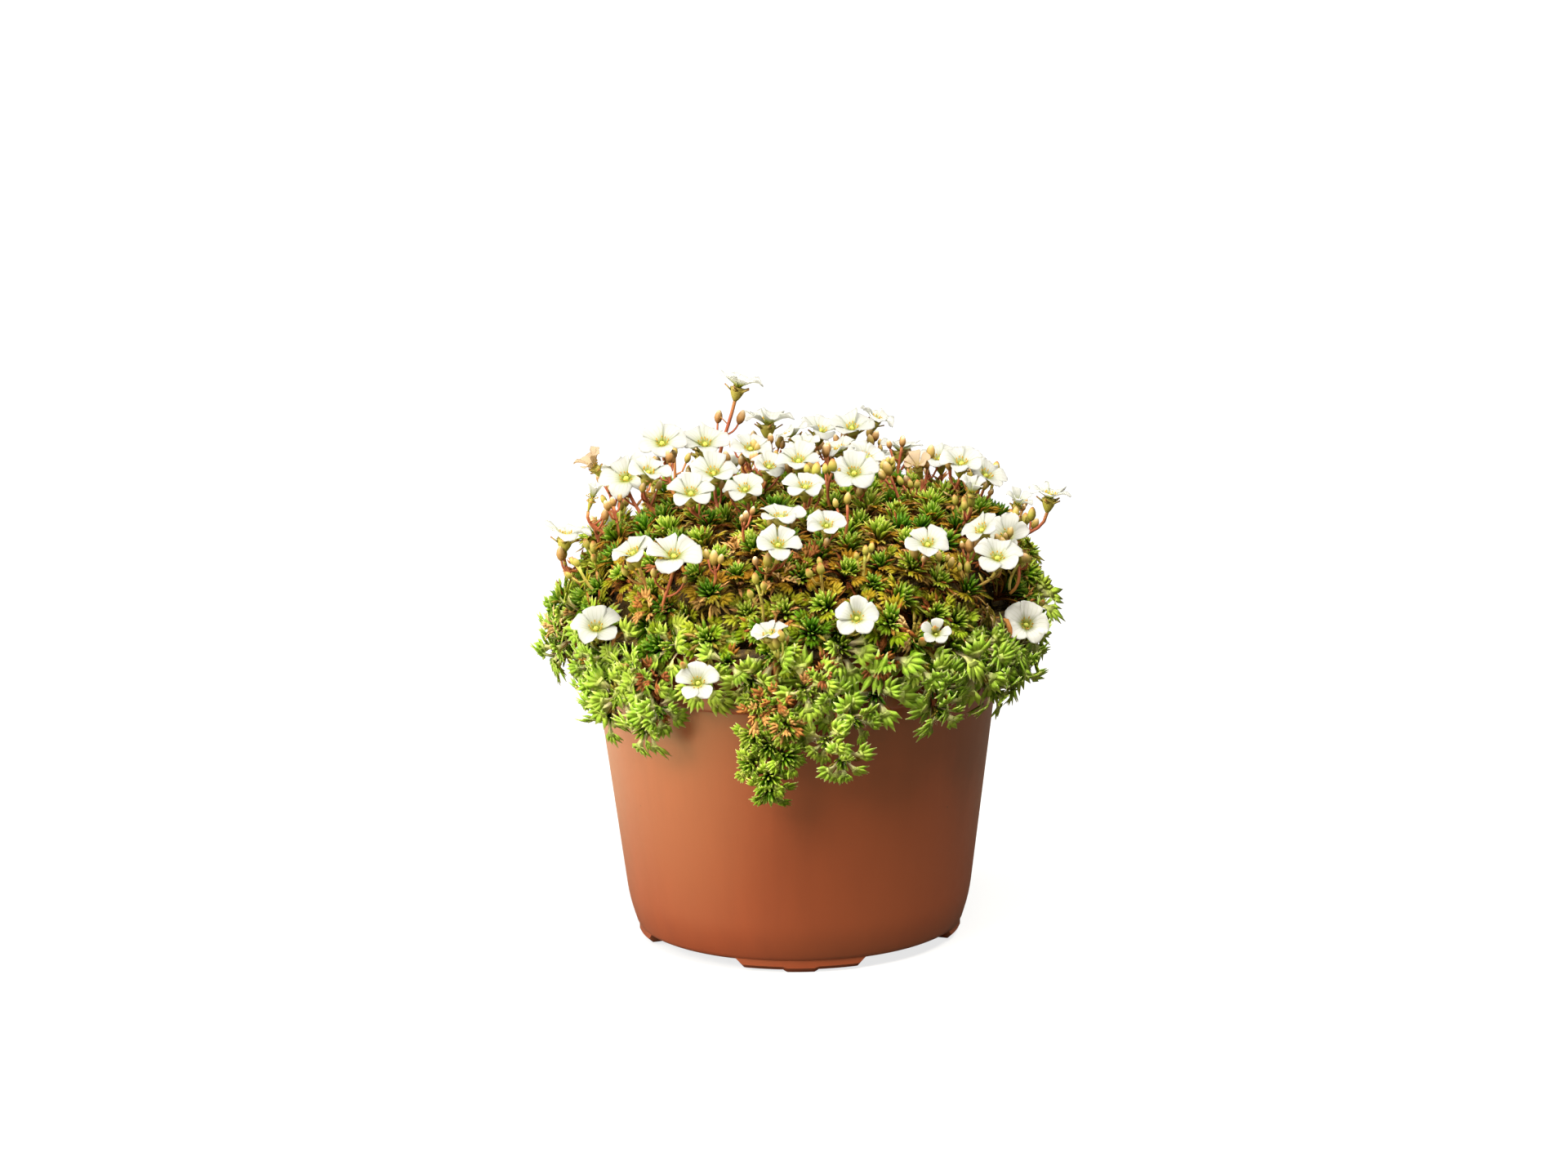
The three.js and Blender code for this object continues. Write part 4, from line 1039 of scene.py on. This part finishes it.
def add_stamens(throat, axis, towards, radius):
    """A rounded ovary in each throat, and ten filaments that lean out round it, each with an anther at
    its tip."""
    rng = np.random.default_rng(52)
    blooms, count = len(throat), 10
    size = (radius / BLOOM_RADIUS)[:, None]
    place, width = np.array([[0.0, 1.4], [0.55, 1.5], [1.0, 1.1], [1.3, 0.4]]).T
    surfaces = [tubes(straight(throat, axis, place * size), width * size, 8, 0.0, 0.1)]
    out = fan(towards, np.cross(axis, towards), count, rng.normal(scale=0.1, size=(blooms, count)))
    up = np.repeat(axis, count, axis=0)
    base = np.repeat(throat, count, axis=0) + out * 0.8
    tall = (np.repeat(radius, count) / BLOOM_RADIUS * rng.uniform(0.8, 1.15, blooms * count))[:, None]
    lean = rng.uniform(0.5, 1.0, blooms * count)[:, None]
    path = straight(base, up * 1.9 * tall + out * 1.2 * lean, [0.0, 0.6, 0.8, 0.9, 1.0])
    surfaces.append(tubes(path, [0.18, 0.14, 0.34, 0.38, 0.16], 4, 0.0, [0.3, 0.6, 0.85, 0.95, 1.0]))
    piece("stamens", surfaces, made_of(stamens), ["cushion"])


def nearest_shoot(points, shoots):
    """The index of the shoot nearest to each point."""
    return np.linalg.norm(points[:, None] - shoots.at[None], axis=-1).argmin(axis=1)


def stem_lines(foot, end, axis, shoots, shares):
    """Points at shares along cubic curves from a foot in the nearest rosette to an end that they meet
    along its axis: (1-t)^3 foot + 3 t (1-t)^2 first + 3 t^2 (1-t) second + t^3 end."""
    pull = 0.4 * np.linalg.norm(end - foot, axis=1, keepdims=True)
    first, second = foot + shoots.axis[nearest_shoot(foot, shoots)] * pull, end - axis * pull
    t = shares[:, None]
    foot, first, second, end = (x[:, None] for x in (foot, first, second, end))
    return foot * (1 - t) ** 3 + first * 3 * t * (1 - t) ** 2 + second * 3 * t**2 * (1 - t) + end * t**3


def egg_buds(tip, up, size, part):
    """Egg-shaped buds that stand on the tips of their stems, widest below the middle, in their closed
    sepals."""
    share = np.array([0.0, 0.16, 0.4, 0.66, 0.86, 0.96, 1.0])
    width = np.array([0.6, 1.7, 2.3, 2.0, 1.3, 0.7, 0.2])
    path = straight(tip, up, share * 3.8 * size[:, None])
    return [tubes(path, width * size[:, None], 8, part[:, None], share)]


def crown_buds(shoots, rng):
    """Young flower stems that rise between the rosettes, each with a bud at its tip and two on side
    stems."""
    count = 74
    chosen = rng.choice(np.flatnonzero(shoots.at[:, 2] > 97), count, replace=False)
    foot = shoots.at[chosen] + rng.normal(scale=1.6, size=(count, 3))
    up = unit(0.5 * shoots.axis[chosen] + UP + rng.normal(scale=0.2, size=(count, 3)))
    tall = rng.uniform(5.5, 13.0, count)[:, None]
    end = foot + up * tall
    bend = foot + unit(up + rng.normal(scale=0.25, size=(count, 3))) * 0.5 * tall
    ways = np.linspace(0, 1, 6)
    tone = np.clip((foot[:, 2] - 98) / 24 + rng.normal(scale=0.25, size=count), 0, 1)
    stems = [tubes(bezier(foot, bend, end, ways), 0.85, 5, tone[:, None], ways)]
    part = np.clip(0.5 * tone + rng.uniform(0.0, 0.5, count), 0, 1)
    buds = egg_buds(end - up * 0.3, up, rng.uniform(0.7, 1.15, count), part)
    for share, reach in ((0.55, 4.4), (0.75, 3.2)):
        fork = bezier(foot, bend, end, [share])[:, 0]
        u, _ = across(up, rng)
        tip = fork + (u * 0.7 + up * 0.8) * reach
        twig = bezier(fork, fork + u * 0.55 * reach, tip, ways[::2] / ways[4])
        stems.append(tubes(twig, 0.6, 5, tone[:, None], 0.6))
        buds += egg_buds(tip - up * 0.2, unit(up + 0.3 * u), rng.uniform(0.5, 0.9, count), part)
    return stems, buds


def side_buds(stem_paths, axis, tone, rng):
    """Two side stems on each flower stem that curve up to a bud each."""
    stems, buds = [], []
    blooms = len(axis)
    ways = np.linspace(0, 1, 5)
    for station, reach in ((4, 5.2), (5, 4.2)):
        at = stem_paths[:, station]
        u, _ = across(axis, rng)
        length = (reach * rng.uniform(0.7, 1.25, blooms))[:, None]
        bend = at + u * 0.6 * length + axis * 0.2 * length
        tip = at + u * 0.75 * length + axis * 0.95 * length
        stems.append(tubes(bezier(at, bend, tip, ways), 0.6, 5, tone[:, None], 0.5 + 0.4 * ways))
        up = unit(tip - bend + axis * 0.4 * length)
        part = np.clip(0.25 + 0.5 * tone + rng.normal(scale=0.15, size=blooms), 0, 1)
        buds += egg_buds(tip - up * 0.2, up, rng.uniform(0.65, 1.1, blooms), part)
    return stems, buds


def calyxes_under(end, axis, size, rng):
    """A calyx under each bloom's petals: a funnel whose width grows from the stem's to the throat's, and
    five sepals, keeled blades that stand out from it between the petals."""
    sepals = 5
    ways = np.array([0.0, 0.2, 0.45, 0.75, 0.95])
    widths = np.array([1.0, 2.1, 3.1, 3.9, 4.3])
    green = rng.uniform(0, 0.5, len(end))[:, None]
    funnel = straight(end, axis, ways * CALYX_LENGTH)
    funnels = tubes(funnel, widths * size, 10, green, [0.0, 0.25, 0.45, 0.55, 0.6])
    out = fan(*across(axis, rng), sepals)
    up, scale, base, green = (np.repeat(x, sepals, axis=0) for x in (axis, size, end, green))
    base = base + up * CALYX_LENGTH * 0.72 + out * 1.7 * scale
    path = straight(base, (out * 0.75 + up * 0.5) * 2.6 * scale, [0.0, 0.5, 1.0])
    side, normal = np.cross(up, out), unit(up - out * 0.5)
    return [funnels, swept(path, side, normal, [1.7, 1.4, 0.15], 0.5, KEELED, green, [0.5, 0.75, 1.0])]


def add_flower_stems(throat, axis, radius, shoots):
    """Each bloom's stem, with a calyx under the petals, two small stem leaves, and short side stems that
    end in buds."""
    rng = np.random.default_rng(53)
    end = throat - axis * CALYX_LENGTH
    foot = shoots.at[nearest_shoot(end - 6 * UP, shoots)] - 1.5 * UP
    shares = np.linspace(0, 1, 9)
    path = stem_lines(foot, end, axis, shoots, shares)
    tone = np.clip(rng.uniform(0, 1, len(throat)) * 0.6 + (throat[:, 2] - 108) / 26, 0, 1)
    stems = [tubes(path, 0.95, 6, tone[:, None], shares)]
    calyxes = calyxes_under(end, axis, (radius / BLOOM_RADIUS)[:, None], rng)
    for bud_stems, buds in (side_buds(path, axis, tone, rng), crown_buds(shoots, rng)):
        stems += bud_stems
        calyxes += buds

    ways = [0.0, 0.5, 1.0]
    up = np.concatenate([axis, axis])
    u, v = across(up, rng)
    blades = straight(np.concatenate([path[:, 4], path[:, 6]]), u * 2.6 + up * 1.6, ways)
    blade_tone = np.concatenate([tone, tone])[:, None] * 0.6
    stems.append(swept(blades, v, np.cross(u, v), [0.7, 0.9, 0.12], 0.4, KEELED, blade_tone, ways))
    piece("flower_stems", stems, made_of(downy_stem), ["cushion"])
    piece("calyxes_and_buds", calyxes, made_of(calyx_and_bud), ["cushion"])


# Studio.


def add_floor():
    """A plain pale floor."""
    size = 6.0
    mesh = bpy.data.meshes.new("floor")
    corners = [(-size, -size, 0), (size, -size, 0), (size, size, 0), (-size, size, 0)]
    mesh.from_pydata(corners, [], [(0, 1, 2, 3)])
    mesh.materials.append(made_of(studio_floor))
    floor = bpy.data.objects.new("floor", mesh)
    bpy.context.scene.collection.objects.link(floor)


def add_light(name, place, aim_height, size, power, hex_code):
    """A square soft light at a place, turned to a point of the pot's axis."""
    lamp = bpy.data.lights.new(name, "AREA")
    lamp.size = size
    lamp.energy = power
    lamp.color = colour(hex_code)[:3]
    thing = bpy.data.objects.new(name, lamp)
    back = unit(np.array(place) - aim_height * UP)
    right = unit(np.cross(UP, back))
    turn = Matrix(np.stack([right, np.cross(back, right), back], axis=1)).to_4x4()
    thing.matrix_world = Matrix.Translation(place) @ turn
    bpy.context.scene.collection.objects.link(thing)


def add_studio():
    """A white room that gives little light of its own, and five soft lights: a large one at the left, one
    at the front left, one above, one high at the right, and a wide weak one over them all."""
    world = bpy.data.worlds.new("white_room")
    world.use_nodes = True
    tree = world.node_tree
    tree.nodes.clear()
    eye = node(tree, "LightPath", output="Is Camera Ray")
    lit = node(tree, "Background", {"Color": "#fff6e6", "Strength": 0.13})
    seen = node(tree, "Background", {"Color": "#ffffff", "Strength": 1.0})
    node(tree, "OutputWorld", {"Surface": node(tree, "MixShader", [eye, lit, seen])})
    bpy.context.scene.world = world
    add_light("left_softbox", (-1.22, -0.36, 0.55), 0.08, 0.8, 21.0, "#fff9f0")
    add_light("front_left_softbox", (-0.66, -0.94, 0.9), 0.1, 0.6, 16.0, "#fff8ee")
    add_light("top_softbox", (-0.22, -0.4, 1.22), 0.1, 0.5, 14.0, "#fffaf0")
    add_light("high_right_softbox", (0.46, -0.46, 1.27), 0.1, 0.45, 22.0, "#fffaf0")
    add_light("ceiling", (0.1, -0.3, 1.9), 0.1, 2.0, 16.0, "#fffaf0")


def add_camera():
    """A long lens 1.38 m in front of the pot and 0.40 m above the table, looking down 12.5 degrees."""
    lens = bpy.data.cameras.new("camera")
    lens.lens = 119.96
    lens.sensor_width = 36.0
    lens.clip_end = 20.0
    camera = bpy.data.objects.new("camera", lens)
    pitch, roll = 0.2189, -0.014
    turn = Matrix.Rotation(math.pi / 2 - pitch, 4, "X") @ Matrix.Rotation(roll, 4, "Z")
    camera.matrix_world = Matrix.Translation((-0.003086, -1.3787, 0.4022)) @ turn
    bpy.context.scene.collection.objects.link(camera)
    bpy.context.scene.camera = camera


bpy.context.scene.view_settings.view_transform = "Standard"
add_camera()
add_studio()
add_floor()
add_pot()
add_peat()
add_mat()
throats, bloom_axes, tips, radii, heights = bloom_frames()
crown, fringe = crown_shoots(), fringe_shoots()
clump, trails = trail_shoots(TRAILS[:1], 0.45, 3.6), trail_shoots(TRAILS[1:], 0.35, 4.6)
add_leaves(crown, fringe, clump, trails)
add_dead_leaves(crown, fringe, trails)
add_trail_stems()
add_hairs(fringe, trails)
add_petals(throats, bloom_axes, tips, radii, heights)
add_stamens(throats, bloom_axes, tips, radii)
add_flower_stems(throats, bloom_axes, radii, crown)
